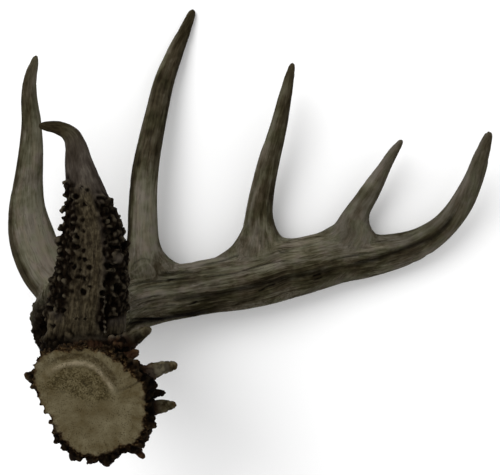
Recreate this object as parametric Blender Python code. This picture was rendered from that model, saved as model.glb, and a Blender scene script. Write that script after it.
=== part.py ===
"""A buck's cast antler, lying on its outer side on a flat surface.

Metres, +Z up. The origin is the middle of the antler's box, on the surface it lies on. The beam runs
along +X and its tines point along +Y; the burr, where the antler was cast, faces up. The antler grew
as one piece, and it is split at its forks: the beam with its burr, and the five tines that leave it.
"""

import math

import bmesh
import bpy
import numpy as np
from mathutils import Matrix, Vector
from mathutils.bvhtree import BVHTree

MM = 0.001

# Centre line stations: x, y, z, half width and half thickness, in millimetres, from root to tip.
# A half width lies across the beam's or tine's line and the half thickness across both.
# On the beam the half width runs along X at the base and along Z further out; the half thickness is
# the one seen from above. On a tine the half width is the one seen from above.
MAIN_BEAM = (
    (-91.5, -109.5, 164, 23, 24),
    (-93, -108.5, 154, 23.5, 24),
    (-95.5, -104.5, 140, 24.5, 24.5),
    (-101, -95.5, 122, 27, 25),
    (-106.3, -84.5, 103, 24.8, 25),
    (-111, -77, 92, 27.8, 25.3),
    (-114, -70, 80, 30.3, 25.5),
    (-114.5, -67.5, 62, 28, 26),
    (-110.5, -66.5, 42, 24, 25),
    (-100.5, -65.5, 24.5, 22, 24),
    (-84.5, -61.5, 19.2, 19.5, 22.8),
    (-67.5, -58, 18.8, 18.3, 21),
    (-49.5, -56, 19, 17.5, 19.6),
    (-30.5, -52.8, 19.3, 17, 19.3),
    (-8.5, -49.4, 19.5, 16.5, 20.1),
    (9.5, -44.9, 19.3, 16.2, 21.1),
    (22, -40.4, 18.7, 15.9, 22.2),
    (34.5, -38.5, 18, 15.5, 20.6),
    (60, -32.2, 15.3, 14.3, 19.2),
    (78.5, -30.9, 13.1, 13.3, 16.7),
    (93, -29.5, 11.9, 12.3, 14.1),
    (108, -26.5, 12.2, 11.2, 12.1),
    (122, -21.5, 13.5, 10, 10.5),
    (136, -12, 17, 9, 8.9),
    (145.5, -1, 20.5, 8.3, 8.1),
    (151.5, 9.5, 24.5, 7.7, 7.7),
    (157.5, 25.5, 32, 6.5, 6.5),
    (160.5, 40.5, 41, 5, 5),
    (162.5, 50.5, 48, 3, 3),
)
BROW_TINE = (
    (-103.5, -81, 120, 25, 20),
    (-100, -59, 127, 23.5, 18),
    (-97, -38.5, 130, 21.2, 16.5),
    (-96, -22.5, 131, 18.9, 15),
    (-96.7, -7.5, 133, 15.7, 13.5),
    (-98.6, 4.5, 135, 12.4, 11.5),
    (-101.2, 16.6, 137, 10, 9.6),
    (-103.4, 27.3, 139, 7.9, 7.6),
    (-104.6, 36.3, 140, 6.1, 6.3),
    (-107, 42.6, 141, 5, 5.6),
    (-111.8, 46.2, 141.5, 4, 4.8),
    (-117, 47.7, 142.5, 3.2, 3.8),
    (-121.5, 48, 143.5, 2.4, 2.3),
)
SECOND_TINE = (
    (-115.5, -62, 66, 16, 13),
    (-127, -53.5, 64, 16, 12.5),
    (-138.5, -41.5, 62, 16.6, 12),
    (-145.5, -28, 61, 16.1, 11.5),
    (-150.5, -11.5, 61, 14.5, 11),
    (-152, 4.5, 62, 11.5, 10),
    (-150.5, 22, 64, 9.1, 8.5),
    (-148, 42, 68, 7.6, 7.2),
    (-147, 60, 72, 6, 5.8),
    (-147.7, 74.5, 75, 4.9, 4.8),
    (-147, 83.5, 77, 4.1, 4),
    (-145, 91.5, 79, 3.3, 3.2),
    (-142.9, 97.8, 80, 2.2, 2.2),
)
THIRD_TINE = (
    (-74.5, -57, 20, 28, 14),
    (-76.5, -43, 21, 24.5, 13.5),
    (-77.5, -35.5, 22, 19.8, 13),
    (-77.8, -30, 23, 15, 12),
    (-78.1, -24, 24, 12.4, 11.5),
    (-78.2, -15.5, 24.5, 11.1, 11),
    (-78.2, 1.5, 25.5, 10, 10.4),
    (-77, 26, 24.5, 9.3, 9.6),
    (-73.6, 49, 21.5, 8.5, 8.7),
    (-69.1, 72.5, 17, 7.7, 7.7),
    (-64, 96.5, 12, 7, 6.6),
    (-55.4, 121, 6.8, 5.4, 5.1),
    (-50.1, 133.5, 4.4, 4.2, 4),
    (-45.2, 146, 2.7, 2.7, 2.7),
)
FOURTH_TINE = (
    (5, -44, 17, 43, 13),
    (5, -39, 17.2, 42, 13),
    (5, -35.5, 17.5, 38, 13.1),
    (5, -32, 17.8, 31.7, 13),
    (5, -28.5, 17.9, 25.7, 12.9),
    (5, -24.5, 18.1, 20.3, 12.6),
    (5.1, -19.5, 18.4, 16.7, 12.1),
    (5.2, -15.5, 18.7, 14.6, 11.7),
    (5, -11, 19, 12.2, 11),
    (5, -1, 20, 9.7, 10.2),
    (7.1, 14.7, 21, 8.3, 9),
    (12.1, 37.5, 24, 7.3, 7.7),
    (18.5, 60, 27, 5.9, 6.2),
    (23.4, 82.5, 30, 4.4, 4.6),
    (25.8, 93.5, 31.5, 3.4, 3.4),
    (27.7, 101.3, 32.7, 2.1, 2.1),
)
FIFTH_TINE = (
    (60, -33, 15, 23.5, 12.5),
    (67.2, -23.8, 15.5, 19.2, 12),
    (72.8, -15, 16, 16.5, 11.5),
    (73.3, -7.8, 16.5, 12.4, 10.5),
    (76, 0.3, 17.3, 8.9, 9.1),
    (81.2, 8.9, 18.5, 7.5, 7.8),
    (88, 20.4, 20, 6.2, 6.3),
    (94.5, 32, 22, 4.5, 4.7),
    (100.8, 43, 24, 3.2, 3.2),
    (104.5, 48.5, 25, 2.1, 2.1),
)
# Small points on the side of the burr and of the beam's base, smoother than the pearls round them.
KICKERS = (
    (
        (-81.5, -84.5, 138, 7, 8),
        (-72.5, -78.7, 141, 5, 5.3),
        (-68, -75.9, 141, 3.8, 3.9),
        (-65, -74.1, 141, 2.7, 2.6),
    ),
    (
        (-73.5, -101.2, 152, 6.4, 7),
        (-62.5, -97.5, 151, 5.3, 5.4),
        (-56, -94.7, 150, 4.1, 4.1),
        (-49.6, -93.2, 150, 2.7, 2.6),
    ),
    (
        (-67.5, -118, 152, 5, 6),
        (-55.5, -116.8, 149, 3.8, 3.9),
        (-51, -116.3, 148, 2.9, 2.9),
        (-49.8, -116.1, 148, 2.3, 2.3),
    ),
    ((-67.5, -109, 156, 4.5, 4.5), (-58.5, -108.3, 156, 2.8, 2.8), (-54.5, -107.6, 156, 1.4, 1.4)),
    ((-70.5, -134.5, 160, 4, 4), (-66, -139, 160, 2.8, 2.8), (-65, -140.2, 160, 1.7, 1.7)),
    ((-118.5, -100, 163, 4.5, 4.5), (-123.5, -97.8, 163, 3.2, 3.2), (-124.7, -97.3, 163, 2.4, 2.4)),
    ((-76.5, -90.5, 148, 4.5, 4.5), (-72.5, -87.1, 149, 3, 3), (-71, -86.3, 149, 2.2, 2.2)),
)

# The seal, the pale face where the antler broke from the skull, and the burr round it.
SEAL_CENTRE = (-90.5, -110.5, 172)
SEAL_NORMAL = Vector((-0.05, -0.14, 1)).normalized()
SEAL_RADII = (30, 31, 29, 29, 30, 31.5, 35, 38.5, 34, 28.4, 24.8, 26, 28.5, 30.5, 30.5, 30.5, 33, 31.8)
RIDGE_RADII = (40, 15, 15.8, 17.2, 21, 24, 26.6, 29.2, 32, 40)  # every 20 degrees, from 0 to 180
RIDGE_STEP = 20
SEAL_RIM = 0.6
LEDGE_DEPTH = 1.7
LEDGE_SLOPE = 1.8
# The burr's flank: how far past its reach, and how far below the seal.
BURR_REACH = (3.2, 3.2, 3, 2.6, 2.4, 2.4, 2, 1, 1, 0, -0.6, 1.2, 3.8, 4.6, 4.6, 4, 3, 3)
BURR_PROFILE = ((-1.6, -3), (-1.8, -6.5), (-5, -10.5), (-10, -15.5))
BURR_BEADS = 44
BURR_BEAD_ROWS = ((-0.9, -4.5, 2.9, 1.0), (-2.4, -9.5, 2.5, 1.15))  # past the reach, height, radius, length
# Hollows: centre, radius and depth.
PITS = (
    (-133.5, -73.5, 108, 4.5, 3.5),
    (-97, -103.5, 172.5, 2.4, 1.8),
    (-82, -36.5, 143, 4.5, 2.4),
    (-82, -41.5, 143, 5, 2.6),
)

# Pearls: limb, share of its length from and to, angle from and to, count, smallest and largest radius.
# Angle 0 is the half width's own side, 90 the half thickness's.
PEARL_PATCHES = (
    ("brow_tine", 0.22, 0.66, -55, 66, 64, 1.5, 2.6),
    ("brow_tine", 0.20, 0.60, 110, 235, 34, 2.0, 3.8),
    ("brow_tine", 0.20, 0.55, 240, 300, 14, 1.6, 2.8),
    ("main_beam", 0.035, 0.19, -80, 70, 38, 1.8, 3.0),
    ("main_beam", 0.035, 0.17, 110, 255, 32, 1.8, 2.8),
)

LIMBS = {
    "main_beam": (MAIN_BEAM, "Y"),
    "brow_tine": (BROW_TINE, "Z"),
    "second_tine": (SECOND_TINE, "Z"),
    "third_tine": (THIRD_TINE, "Z"),
    "fourth_tine": (FOURTH_TINE, "Z"),
    "fifth_tine": (FIFTH_TINE, "Z"),
}
# Where each tine is parted from the beam, as a share of its length, and the cut that parts it.
FORKS = {
    "brow_tine": 0.30,
    "second_tine": 0.205,
    "third_tine": 0.165,
    "fourth_tine": 0.19,
    "fifth_tine": 0.33,
}
FORK_GAP = 0.3
FORK_CUT_MARGIN = 1.25
FORK_RADIUS = 34
FORK_ROUNDS = 24

SKIN_LOSS = 0.4  # what evening out the skin takes off all round, more where it is thin, and off a tip
THIN_LOSS = 1
TIP_LOSS = 2.6
RING_SIDES = 40
RING_SPACING = 2.5
PEARL_REACH = 36
FUSE_VOXEL = 1.5
FINISH_VOXEL = 1.3
TRIANGLES = 8800
GOLDEN = ((math.sqrt(5) - 1) / 2, 0.7548776662466927, 0.5698402909980532)

ANTLER_BROWN = (0.075, 0.066, 0.046, 1)
BROW_BROWN = (0.026, 0.019, 0.012, 1)
TINE_GREY = (0.085, 0.075, 0.054, 1)
COLOURS = {"main_beam": ANTLER_BROWN, "brow_tine": BROW_BROWN}


def clear_scene():
    for obj in list(bpy.data.objects):
        bpy.data.objects.remove(obj)


def smooth_step(x):
    x = np.clip(x, 0, 1)
    return x * x * (3 - 2 * x)


def curve_through(stations, spacing):
    """The stations joined by a centripetal Catmull-Rom curve and read at an even spacing along it."""
    rows = np.array(stations, float)
    ends = np.vstack([2 * rows[0] - rows[1], rows, 2 * rows[-1] - rows[-2]])
    knots = np.concatenate([[0], np.cumsum(np.linalg.norm(np.diff(ends[:, :3], axis=0), axis=1) ** 0.5)])
    fine = []
    for i in range(1, len(ends) - 2):
        t = np.linspace(knots[i], knots[i + 1], 24, endpoint=False)[:, None]
        p, k = ends[i - 1 : i + 3], knots[i - 1 : i + 3]
        a = [((k[j + 1] - t) * p[j] + (t - k[j]) * p[j + 1]) / (k[j + 1] - k[j]) for j in range(3)]
        b = [((k[j + 2] - t) * a[j] + (t - k[j]) * a[j + 1]) / (k[j + 2] - k[j]) for j in range(2)]
        fine.append(((k[2] - t) * b[0] + (t - k[1]) * b[1]) / (k[2] - k[1]))
    fine = np.vstack([*fine, ends[-2:-1]])
    along = np.concatenate([[0], np.cumsum(np.linalg.norm(np.diff(fine[:, :3], axis=0), axis=1))])
    even = np.linspace(0, along[-1], max(2, round(along[-1] / spacing) + 1))
    return np.column_stack([np.interp(even, along, fine[:, c]) for c in range(fine.shape[1])])


class Limb:
    """The beam or a tine: its centre line with the two directions across it at every sample."""

    def __init__(self, stations, reference, spacing=RING_SPACING):
        rows = curve_through(stations, spacing)
        sizes = rows[:, 3:] + SKIN_LOSS + THIN_LOSS / rows[:, 3:]
        self.centre, self.wide, self.thick = rows[:, :3], sizes[:, 0], sizes[:, 1]
        tangent = np.gradient(self.centre, axis=0)
        self.along = tangent / np.linalg.norm(tangent, axis=1)[:, None]
        axis = np.array({"X": (1, 0, 0), "Y": (0, 1, 0), "Z": (0, 0, 1)}[reference], float)
        across = axis - (self.along @ axis)[:, None] * self.along
        self.up = across / np.linalg.norm(across, axis=1)[:, None]
        self.side = np.cross(self.up, self.along)

    def at(self, share):
        """Index of the sample at that share of the length."""
        return round(share * (len(self.centre) - 1))

    def outward(self, i, angle):
        return self.side[i] * math.cos(angle) + self.up[i] * math.sin(angle)

    def ring(self, i, size=1.0, forward=0.0):
        turn = np.arange(RING_SIDES) * 2 * math.pi / RING_SIDES
        middle = self.centre[i] + self.along[i] * forward
        side = np.outer(np.cos(turn), self.side[i]) * self.wide[i] * size
        return middle + side + np.outer(np.sin(turn), self.up[i]) * self.thick[i] * size

    def rings(self):
        """Rings from root to tip, with the tip rounded off."""
        found = [self.ring(i) for i in range(len(self.centre))]
        for turn in np.radians((25, 50, 72)):
            found.append(self.ring(-1, math.cos(turn), math.sin(turn) * (self.wide[-1] + TIP_LOSS)))
        return found


def loft(bm, rings):
    """A closed tube through the rings, which are in millimetres."""
    loops = [[bm.verts.new(Vector(p) * MM) for p in ring] for ring in rings]
    for low, high in zip(loops, loops[1:]):
        for i, vertex in enumerate(low):
            after = (i + 1) % len(low)
            bm.faces.new((vertex, low[after], high[after], high[i]))
    bm.faces.new(list(reversed(loops[0])))
    bm.faces.new(loops[-1])


def seal_axes():
    normal = np.array(SEAL_NORMAL)
    right = np.cross((0, 1, 0), normal)
    right /= np.linalg.norm(right)
    return right, np.cross(normal, right), normal


def round_outline(radii, angle):
    """The radius at that angle, on a smooth closed curve through radii at even angles."""
    step = 2 * math.pi / len(radii)
    place = np.asarray(angle) % (2 * math.pi) / step
    i = np.floor(place).astype(int)
    t = place - i
    p = [np.take(radii, (i + k) % len(radii)) for k in (-1, 0, 1, 2)]
    bend = (-p[0] + 3 * p[1] - 3 * p[2] + p[3]) * t**3 + (2 * p[0] - 5 * p[1] + 4 * p[2] - p[3]) * t**2
    return p[1] + 0.5 * (bend + (p[2] - p[0]) * t)


def seal_height(angle, radius):
    """The seal is flat; past a low ridge on its upper side it drops to a ledge that runs to the edge."""
    degrees = np.degrees(angle) % 360
    marks = np.arange(len(RIDGE_RADII)) * RIDGE_STEP
    ridge = np.interp(degrees, marks, RIDGE_RADII)
    edge = round_outline(SEAL_RADII, angle)
    fade = smooth_step((degrees - 4) / 22) * smooth_step((172 - degrees) / 26)
    past = np.clip((radius - ridge) / np.maximum(edge - ridge, 1), 0, 1)
    return -LEDGE_DEPTH * fade * smooth_step((radius - ridge) / LEDGE_SLOPE) * (1 - 0.55 * past)


def add_burr(bm):
    """The flange with the seal on top: rings out over the face, then down its flank."""
    right, front, normal = seal_axes()
    turn = np.arange(2 * RING_SIDES) * math.pi / RING_SIDES
    edge = round_outline(SEAL_RADII, turn)
    heading = np.outer(np.cos(turn), right) + np.outer(np.sin(turn), front)
    centre = np.array(SEAL_CENTRE, float)

    def ring(radius, height):
        return centre + heading * radius[:, None] + normal * np.asarray(height)[..., None]

    face = [ring(edge * share, seal_height(turn, edge * share)) for share in np.linspace(0.04, 1, 24)]
    rim = seal_height(turn, edge)
    reach = edge + round_outline(BURR_REACH, turn)
    flank = [ring(reach + past, rim * max(0, 1 + height / 6) + height) for past, height in BURR_PROFILE]
    loft(bm, list(reversed(face + flank)))


def add_bead(bm, place, outward, radius, length):
    """An egg-shaped bump of that radius, its long axis outward."""
    turn = Vector(outward).to_track_quat("Z", "Y").to_matrix().to_4x4()
    size = Matrix.Diagonal((radius * MM, radius * MM, radius * length * MM, 1))
    matrix = Matrix.Translation(Vector(place) * MM) @ turn @ size
    bmesh.ops.create_icosphere(bm, subdivisions=2, radius=1, matrix=matrix)


def add_burr_beads(bm):
    """The coronet: two rows of beads that stand out round the burr."""
    right, front, normal = seal_axes()
    for row, (past, height, radius, length) in enumerate(BURR_BEAD_ROWS):
        for i in range(BURR_BEADS):
            wobble = (i * GOLDEN[0] + row * GOLDEN[1]) % 1
            angle = (i + 0.5 * row + 0.5 * wobble) * 2 * math.pi / BURR_BEADS
            out = right * math.cos(angle) + front * math.sin(angle)
            edge = round_outline(SEAL_RADII, angle) + round_outline(BURR_REACH, angle)
            reach = edge + past + 1.2 * (wobble - 0.5)
            size = radius * (0.72 + 0.5 * ((i * GOLDEN[2]) % 1))
            place = np.array(SEAL_CENTRE) + out * reach + normal * (height + 2 * (wobble - 0.5))
            add_bead(bm, place, out - 0.35 * normal, size, length + 0.35 * wobble)


def pearl_places(limbs, patch):
    """Evenly scattered places in a patch of a limb: centre, outward direction and bead radius."""
    name, start, end, low, high, count, small, large = patch
    limb = limbs[name]
    for i in range(count):
        share = start + (end - start) * ((0.5 + i * GOLDEN[1]) % 1)
        angle = math.radians(low + (high - low) * ((0.5 + i * GOLDEN[2]) % 1))
        size = small + (large - small) * ((i * GOLDEN[0]) % 1) ** 2
        at = limb.at(share)
        yield limb.centre[at], limb.outward(at, angle), size


def add_pearls(bm, limbs, surface):
    """Beads on the fused surface, found by looking outward from the limb's centre line."""
    for patch in PEARL_PATCHES:
        for centre, outward, size in pearl_places(limbs, patch):
            place, normal, _, distance = surface.ray_cast(Vector(centre) * MM, Vector(outward))
            if distance < PEARL_REACH * MM:
                add_bead(bm, np.array(place / MM + normal * 0.1 * size), normal, size, 1.1)


def mesh_object(name, bm):
    mesh = bpy.data.meshes.new(name)
    bm.to_mesh(mesh)
    bm.free()
    obj = bpy.data.objects.new(name, mesh)
    bpy.context.scene.collection.objects.link(obj)
    return obj


def evaluated(obj):
    """The object's modifiers applied."""
    bpy.context.view_layer.update()
    mesh = bpy.data.meshes.new_from_object(obj.evaluated_get(bpy.context.evaluated_depsgraph_get()))
    obj.modifiers.clear()
    obj.data = mesh
    return obj


def fused(obj, voxel):
    """The overlapping shapes of a mesh made one skin."""
    remesh = obj.modifiers.new("fuse", "REMESH")
    remesh.mode, remesh.voxel_size = "VOXEL", voxel * MM
    return evaluated(obj)


def points_of(obj):
    points = np.empty(len(obj.data.vertices) * 3)
    obj.data.vertices.foreach_get("co", points)
    return points.reshape(-1, 3) / MM


def move_points(obj, points):
    obj.data.vertices.foreach_set("co", (points * MM).ravel())
    obj.data.update()


def relax(obj, weight, rounds):
    """Evens the skin out: every point moves towards its neighbours' middle, by its weight."""
    ends = np.empty(len(obj.data.edges) * 2, int)
    obj.data.edges.foreach_get("vertices", ends)
    a, b = ends.reshape(-1, 2).T
    points, count = points_of(obj), np.bincount(ends, minlength=len(weight))
    for _ in range(rounds):
        total = np.zeros_like(points)
        for axis in range(3):
            total[:, axis] = np.bincount(a, points[b, axis], len(count))
            total[:, axis] += np.bincount(b, points[a, axis], len(count))
        points += 0.6 * weight[:, None] * (total / count[:, None] - points)
    move_points(obj, points)


def web_forks(obj, limbs):
    """Draws the skin into a web between the beam and each tine."""
    points = points_of(obj)
    weight = np.full(len(points), 0.12)
    for name, share in FORKS.items():
        limb = limbs[name]
        away = np.linalg.norm(points - limb.centre[limb.at(share * 0.8)], axis=1)
        weight = np.maximum(weight, smooth_step(1.6 * (1 - away / FORK_RADIUS)))
    relax(obj, weight, FORK_ROUNDS)


def face_seal(obj):
    """Sets the skin on the seal exactly on its height, so that its middle is one flat face."""
    right, front, normal = seal_axes()
    points = points_of(obj)
    local = (points - SEAL_CENTRE) @ np.array([right, front, normal]).T
    radius, angle = np.hypot(local[:, 0], local[:, 1]), np.arctan2(local[:, 1], local[:, 0])
    height = seal_height(angle, radius)
    inside = radius < round_outline(SEAL_RADII, angle) + SEAL_RIM
    on_face = inside & (np.abs(local[:, 2] - height) < SEAL_RIM)
    points[on_face] += np.outer((height - local[:, 2])[on_face], normal)
    move_points(obj, points)


def press_pits(obj):
    """Presses the hollows into the skin."""
    points = points_of(obj)
    normals = np.empty(len(points) * 3)
    obj.data.vertices.foreach_get("normal", normals)
    for *centre, radius, depth in PITS:
        near = smooth_step(1.35 * (1 - np.linalg.norm(points - centre, axis=1) / (1.6 * radius)))
        points -= depth * near[:, None] * normals.reshape(-1, 3)
    move_points(obj, points)


def lay_down(obj):
    """Flattens the few places of contact against the surface it lies on, and centres the box."""
    points = points_of(obj)
    points[:, :2] -= (points[:, :2].min(axis=0) + points[:, :2].max(axis=0)) / 2
    points[:, 2] = np.maximum(points[:, 2], 0)
    move_points(obj, points)


def fork_cutter(limb, share):
    """A thin oval plate across a tine's root."""
    i = limb.at(share)
    bm = bmesh.new()
    loft(bm, [limb.ring(i, FORK_CUT_MARGIN, side * FORK_GAP / 2) for side in (-1, 1)])
    cutter = mesh_object("fork_cutter", bm)
    cutter.hide_render, cutter.display_type = True, "WIRE"
    return cutter


def part_at_forks(obj, limbs):
    """Cuts the tines from the beam and gives each piece a node of its own."""
    for name, share in FORKS.items():
        cut = obj.modifiers.new(f"cut_{name}", "BOOLEAN")
        cut.operation, cut.solver, cut.object = "DIFFERENCE", "EXACT", fork_cutter(limbs[name], share)
    evaluated(obj)
    bm = bmesh.new()
    bm.from_mesh(obj.data)
    bpy.data.objects.remove(obj)
    left, pieces = set(bm.verts), []
    while left:
        piece, edge = set(), [next(iter(left))]
        while edge:
            vertex = edge.pop()
            if vertex not in piece:
                piece.add(vertex)
                edge += [e.other_vert(vertex) for e in vertex.link_edges]
        left -= piece
        pieces.append(piece)
    for name, limb in limbs.items():
        tip = Vector(limb.centre[-1]) * MM
        nearest = min(pieces, key=lambda piece: min((v.co - tip).length for v in piece))
        make_node(name, nearest)
    bm.free()


def make_node(name, verts):
    bm = bmesh.new()
    order = sorted(verts, key=lambda v: v.index)
    copies = {v: bm.verts.new(v.co) for v in order}
    faces = sorted({f for v in order for f in v.link_faces}, key=lambda f: f.index)
    for face in faces:
        bm.faces.new([copies[v] for v in face.verts])
    obj = mesh_object(name, bm)
    obj.data.shade_smooth()
    obj.data.set_sharp_from_angle(angle=math.radians(50))
    surface = bpy.data.materials.new(name)
    surface.use_nodes = True
    shader = surface.node_tree.nodes["Principled BSDF"]
    shader.inputs["Base Color"].default_value = COLOURS.get(name, TINE_GREY)
    shader.inputs["Roughness"].default_value = 0.55
    shader.inputs["Metallic"].default_value = 0
    obj.data.materials.append(surface)


def build():
    clear_scene()
    limbs = {name: Limb(*facts) for name, facts in LIMBS.items()}
    bm = bmesh.new()
    for limb in limbs.values():
        loft(bm, limb.rings())
    antler = fused(mesh_object("antler", bm), FUSE_VOXEL)
    web_forks(antler, limbs)

    bm = bmesh.new()
    bm.from_mesh(antler.data)
    surface = BVHTree.FromBMesh(bm)
    add_burr(bm)
    add_burr_beads(bm)
    add_pearls(bm, limbs, surface)
    for kicker in KICKERS:
        loft(bm, Limb(kicker, "Z", 1).rings())
    bpy.data.objects.remove(antler)
    antler = fused(mesh_object("antler", bm), FINISH_VOXEL)
    relax(antler, np.full(len(antler.data.vertices), 0.3), 2)
    face_seal(antler)
    press_pits(antler)

    thin = antler.modifiers.new("thin", "DECIMATE")
    thin.ratio = TRIANGLES / (2 * len(antler.data.polygons))
    evaluated(antler)
    face_seal(antler)
    lay_down(antler)
    part_at_forks(antler, limbs)


build()
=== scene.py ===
"""The look of a buck's cast antler, lying on its outer side with the burr facing up.

Lengths are in millimetres until a mesh is made. The skin is built round the beam's and the tines'
centre lines, gets its burr, pearls and points, and is fused into one piece before the grooves and
hollows are pressed into it. Colours follow the grain, which runs along each limb.
"""

import math
from collections import namedtuple

import bmesh
import bpy
import numpy as np
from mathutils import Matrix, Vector


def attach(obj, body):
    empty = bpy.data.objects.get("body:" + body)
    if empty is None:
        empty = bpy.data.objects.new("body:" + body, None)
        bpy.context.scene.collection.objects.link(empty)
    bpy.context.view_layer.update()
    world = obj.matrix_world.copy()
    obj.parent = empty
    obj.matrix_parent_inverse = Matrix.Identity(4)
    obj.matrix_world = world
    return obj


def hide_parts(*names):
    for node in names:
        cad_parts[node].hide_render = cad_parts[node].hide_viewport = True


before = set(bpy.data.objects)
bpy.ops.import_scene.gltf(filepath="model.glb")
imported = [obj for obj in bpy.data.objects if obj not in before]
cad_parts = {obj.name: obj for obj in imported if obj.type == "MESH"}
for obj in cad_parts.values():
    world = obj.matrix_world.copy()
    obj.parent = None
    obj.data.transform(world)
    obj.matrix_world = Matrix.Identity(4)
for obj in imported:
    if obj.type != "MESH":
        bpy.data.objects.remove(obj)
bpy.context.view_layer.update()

MM = 0.001

# Centre line stations: x, y, z, half width and half thickness, in millimetres, from root to tip.
# A half width lies across the beam's or tine's line and the half thickness across both.
# On the beam the half width runs along X at the base and along Z further out; the half thickness is
# the one seen from above. On a tine the half width is the one seen from above.
MAIN_BEAM = (
    (-91.5, -109.5, 164, 23, 24),
    (-93, -108.5, 154, 23.5, 24),
    (-95.5, -104.5, 140, 24.5, 24.5),
    (-101, -95.5, 122, 27, 25),
    (-106.3, -84.5, 103, 24.8, 25),
    (-111, -77, 92, 27.8, 25.3),
    (-114, -70, 80, 30.3, 25.5),
    (-114.5, -67.5, 62, 28, 26),
    (-110.5, -66.5, 42, 24, 25),
    (-100.5, -65.5, 24.5, 22, 24),
    (-84.5, -61.5, 19.2, 19.5, 22.8),
    (-67.5, -58, 18.8, 18.3, 21),
    (-49.5, -56, 19, 17.5, 19.6),
    (-30.5, -52.8, 19.3, 17, 19.3),
    (-8.5, -49.4, 19.5, 16.5, 20.1),
    (9.5, -44.9, 19.3, 16.2, 21.1),
    (22, -40.4, 18.7, 15.9, 22.2),
    (34.5, -38.5, 18, 15.5, 20.6),
    (60, -32.2, 15.3, 14.3, 19.2),
    (78.5, -30.9, 13.1, 13.3, 16.7),
    (93, -29.5, 11.9, 12.3, 14.1),
    (108, -26.5, 12.2, 11.2, 12.1),
    (122, -21.5, 13.5, 10, 10.5),
    (136, -12, 17, 9, 8.9),
    (145.5, -1, 20.5, 8.3, 8.1),
    (151.5, 9.5, 24.5, 7.7, 7.7),
    (157.5, 25.5, 32, 6.5, 6.5),
    (160.5, 40.5, 41, 5, 5),
    (162.5, 50.5, 48, 3, 3),
)
BROW_TINE = (
    (-103.5, -81, 120, 25, 20),
    (-100, -59, 127, 23.5, 18),
    (-97, -38.5, 130, 21.2, 16.5),
    (-96, -22.5, 131, 18.9, 15),
    (-96.7, -7.5, 133, 15.7, 13.5),
    (-98.6, 4.5, 135, 12.4, 11.5),
    (-101.2, 16.6, 137, 10, 9.6),
    (-103.4, 27.3, 139, 7.9, 7.6),
    (-104.6, 36.3, 140, 6.1, 6.3),
    (-107, 42.6, 141, 5, 5.6),
    (-111.8, 46.2, 141.5, 4, 4.8),
    (-117, 47.7, 142.5, 3.2, 3.8),
    (-121.5, 48, 143.5, 2.4, 2.3),
)
SECOND_TINE = (
    (-115.5, -62, 66, 16, 13),
    (-127, -53.5, 64, 16, 12.5),
    (-138.5, -41.5, 62, 16.6, 12),
    (-145.5, -28, 61, 16.1, 11.5),
    (-150.5, -11.5, 61, 14.5, 11),
    (-152, 4.5, 62, 11.5, 10),
    (-150.5, 22, 64, 9.1, 8.5),
    (-148, 42, 68, 7.6, 7.2),
    (-147, 60, 72, 6, 5.8),
    (-147.7, 74.5, 75, 4.9, 4.8),
    (-147, 83.5, 77, 4.1, 4),
    (-145, 91.5, 79, 3.3, 3.2),
    (-142.9, 97.8, 80, 2.2, 2.2),
)
THIRD_TINE = (
    (-74.5, -57, 20, 28, 14),
    (-76.5, -43, 21, 24.5, 13.5),
    (-77.5, -35.5, 22, 19.8, 13),
    (-77.8, -30, 23, 15, 12),
    (-78.1, -24, 24, 12.4, 11.5),
    (-78.2, -15.5, 24.5, 11.1, 11),
    (-78.2, 1.5, 25.5, 10, 10.4),
    (-77, 26, 24.5, 9.3, 9.6),
    (-73.6, 49, 21.5, 8.5, 8.7),
    (-69.1, 72.5, 17, 7.7, 7.7),
    (-64, 96.5, 12, 7, 6.6),
    (-55.4, 121, 6.8, 5.4, 5.1),
    (-50.1, 133.5, 4.4, 4.2, 4),
    (-45.2, 146, 2.7, 2.7, 2.7),
)
FOURTH_TINE = (
    (5, -44, 17, 43, 13),
    (5, -39, 17.2, 42, 13),
    (5, -35.5, 17.5, 38, 13.1),
    (5, -32, 17.8, 31.7, 13),
    (5, -28.5, 17.9, 25.7, 12.9),
    (5, -24.5, 18.1, 20.3, 12.6),
    (5.1, -19.5, 18.4, 16.7, 12.1),
    (5.2, -15.5, 18.7, 14.6, 11.7),
    (5, -11, 19, 12.2, 11),
    (5, -1, 20, 9.7, 10.2),
    (7.1, 14.7, 21, 8.3, 9),
    (12.1, 37.5, 24, 7.3, 7.7),
    (18.5, 60, 27, 5.9, 6.2),
    (23.4, 82.5, 30, 4.4, 4.6),
    (25.8, 93.5, 31.5, 3.4, 3.4),
    (27.7, 101.3, 32.7, 2.1, 2.1),
)
FIFTH_TINE = (
    (60, -33, 15, 23.5, 12.5),
    (67.2, -23.8, 15.5, 19.2, 12),
    (72.8, -15, 16, 16.5, 11.5),
    (73.3, -7.8, 16.5, 12.4, 10.5),
    (76, 0.3, 17.3, 8.9, 9.1),
    (81.2, 8.9, 18.5, 7.5, 7.8),
    (88, 20.4, 20, 6.2, 6.3),
    (94.5, 32, 22, 4.5, 4.7),
    (100.8, 43, 24, 3.2, 3.2),
    (104.5, 48.5, 25, 2.1, 2.1),
)
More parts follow.
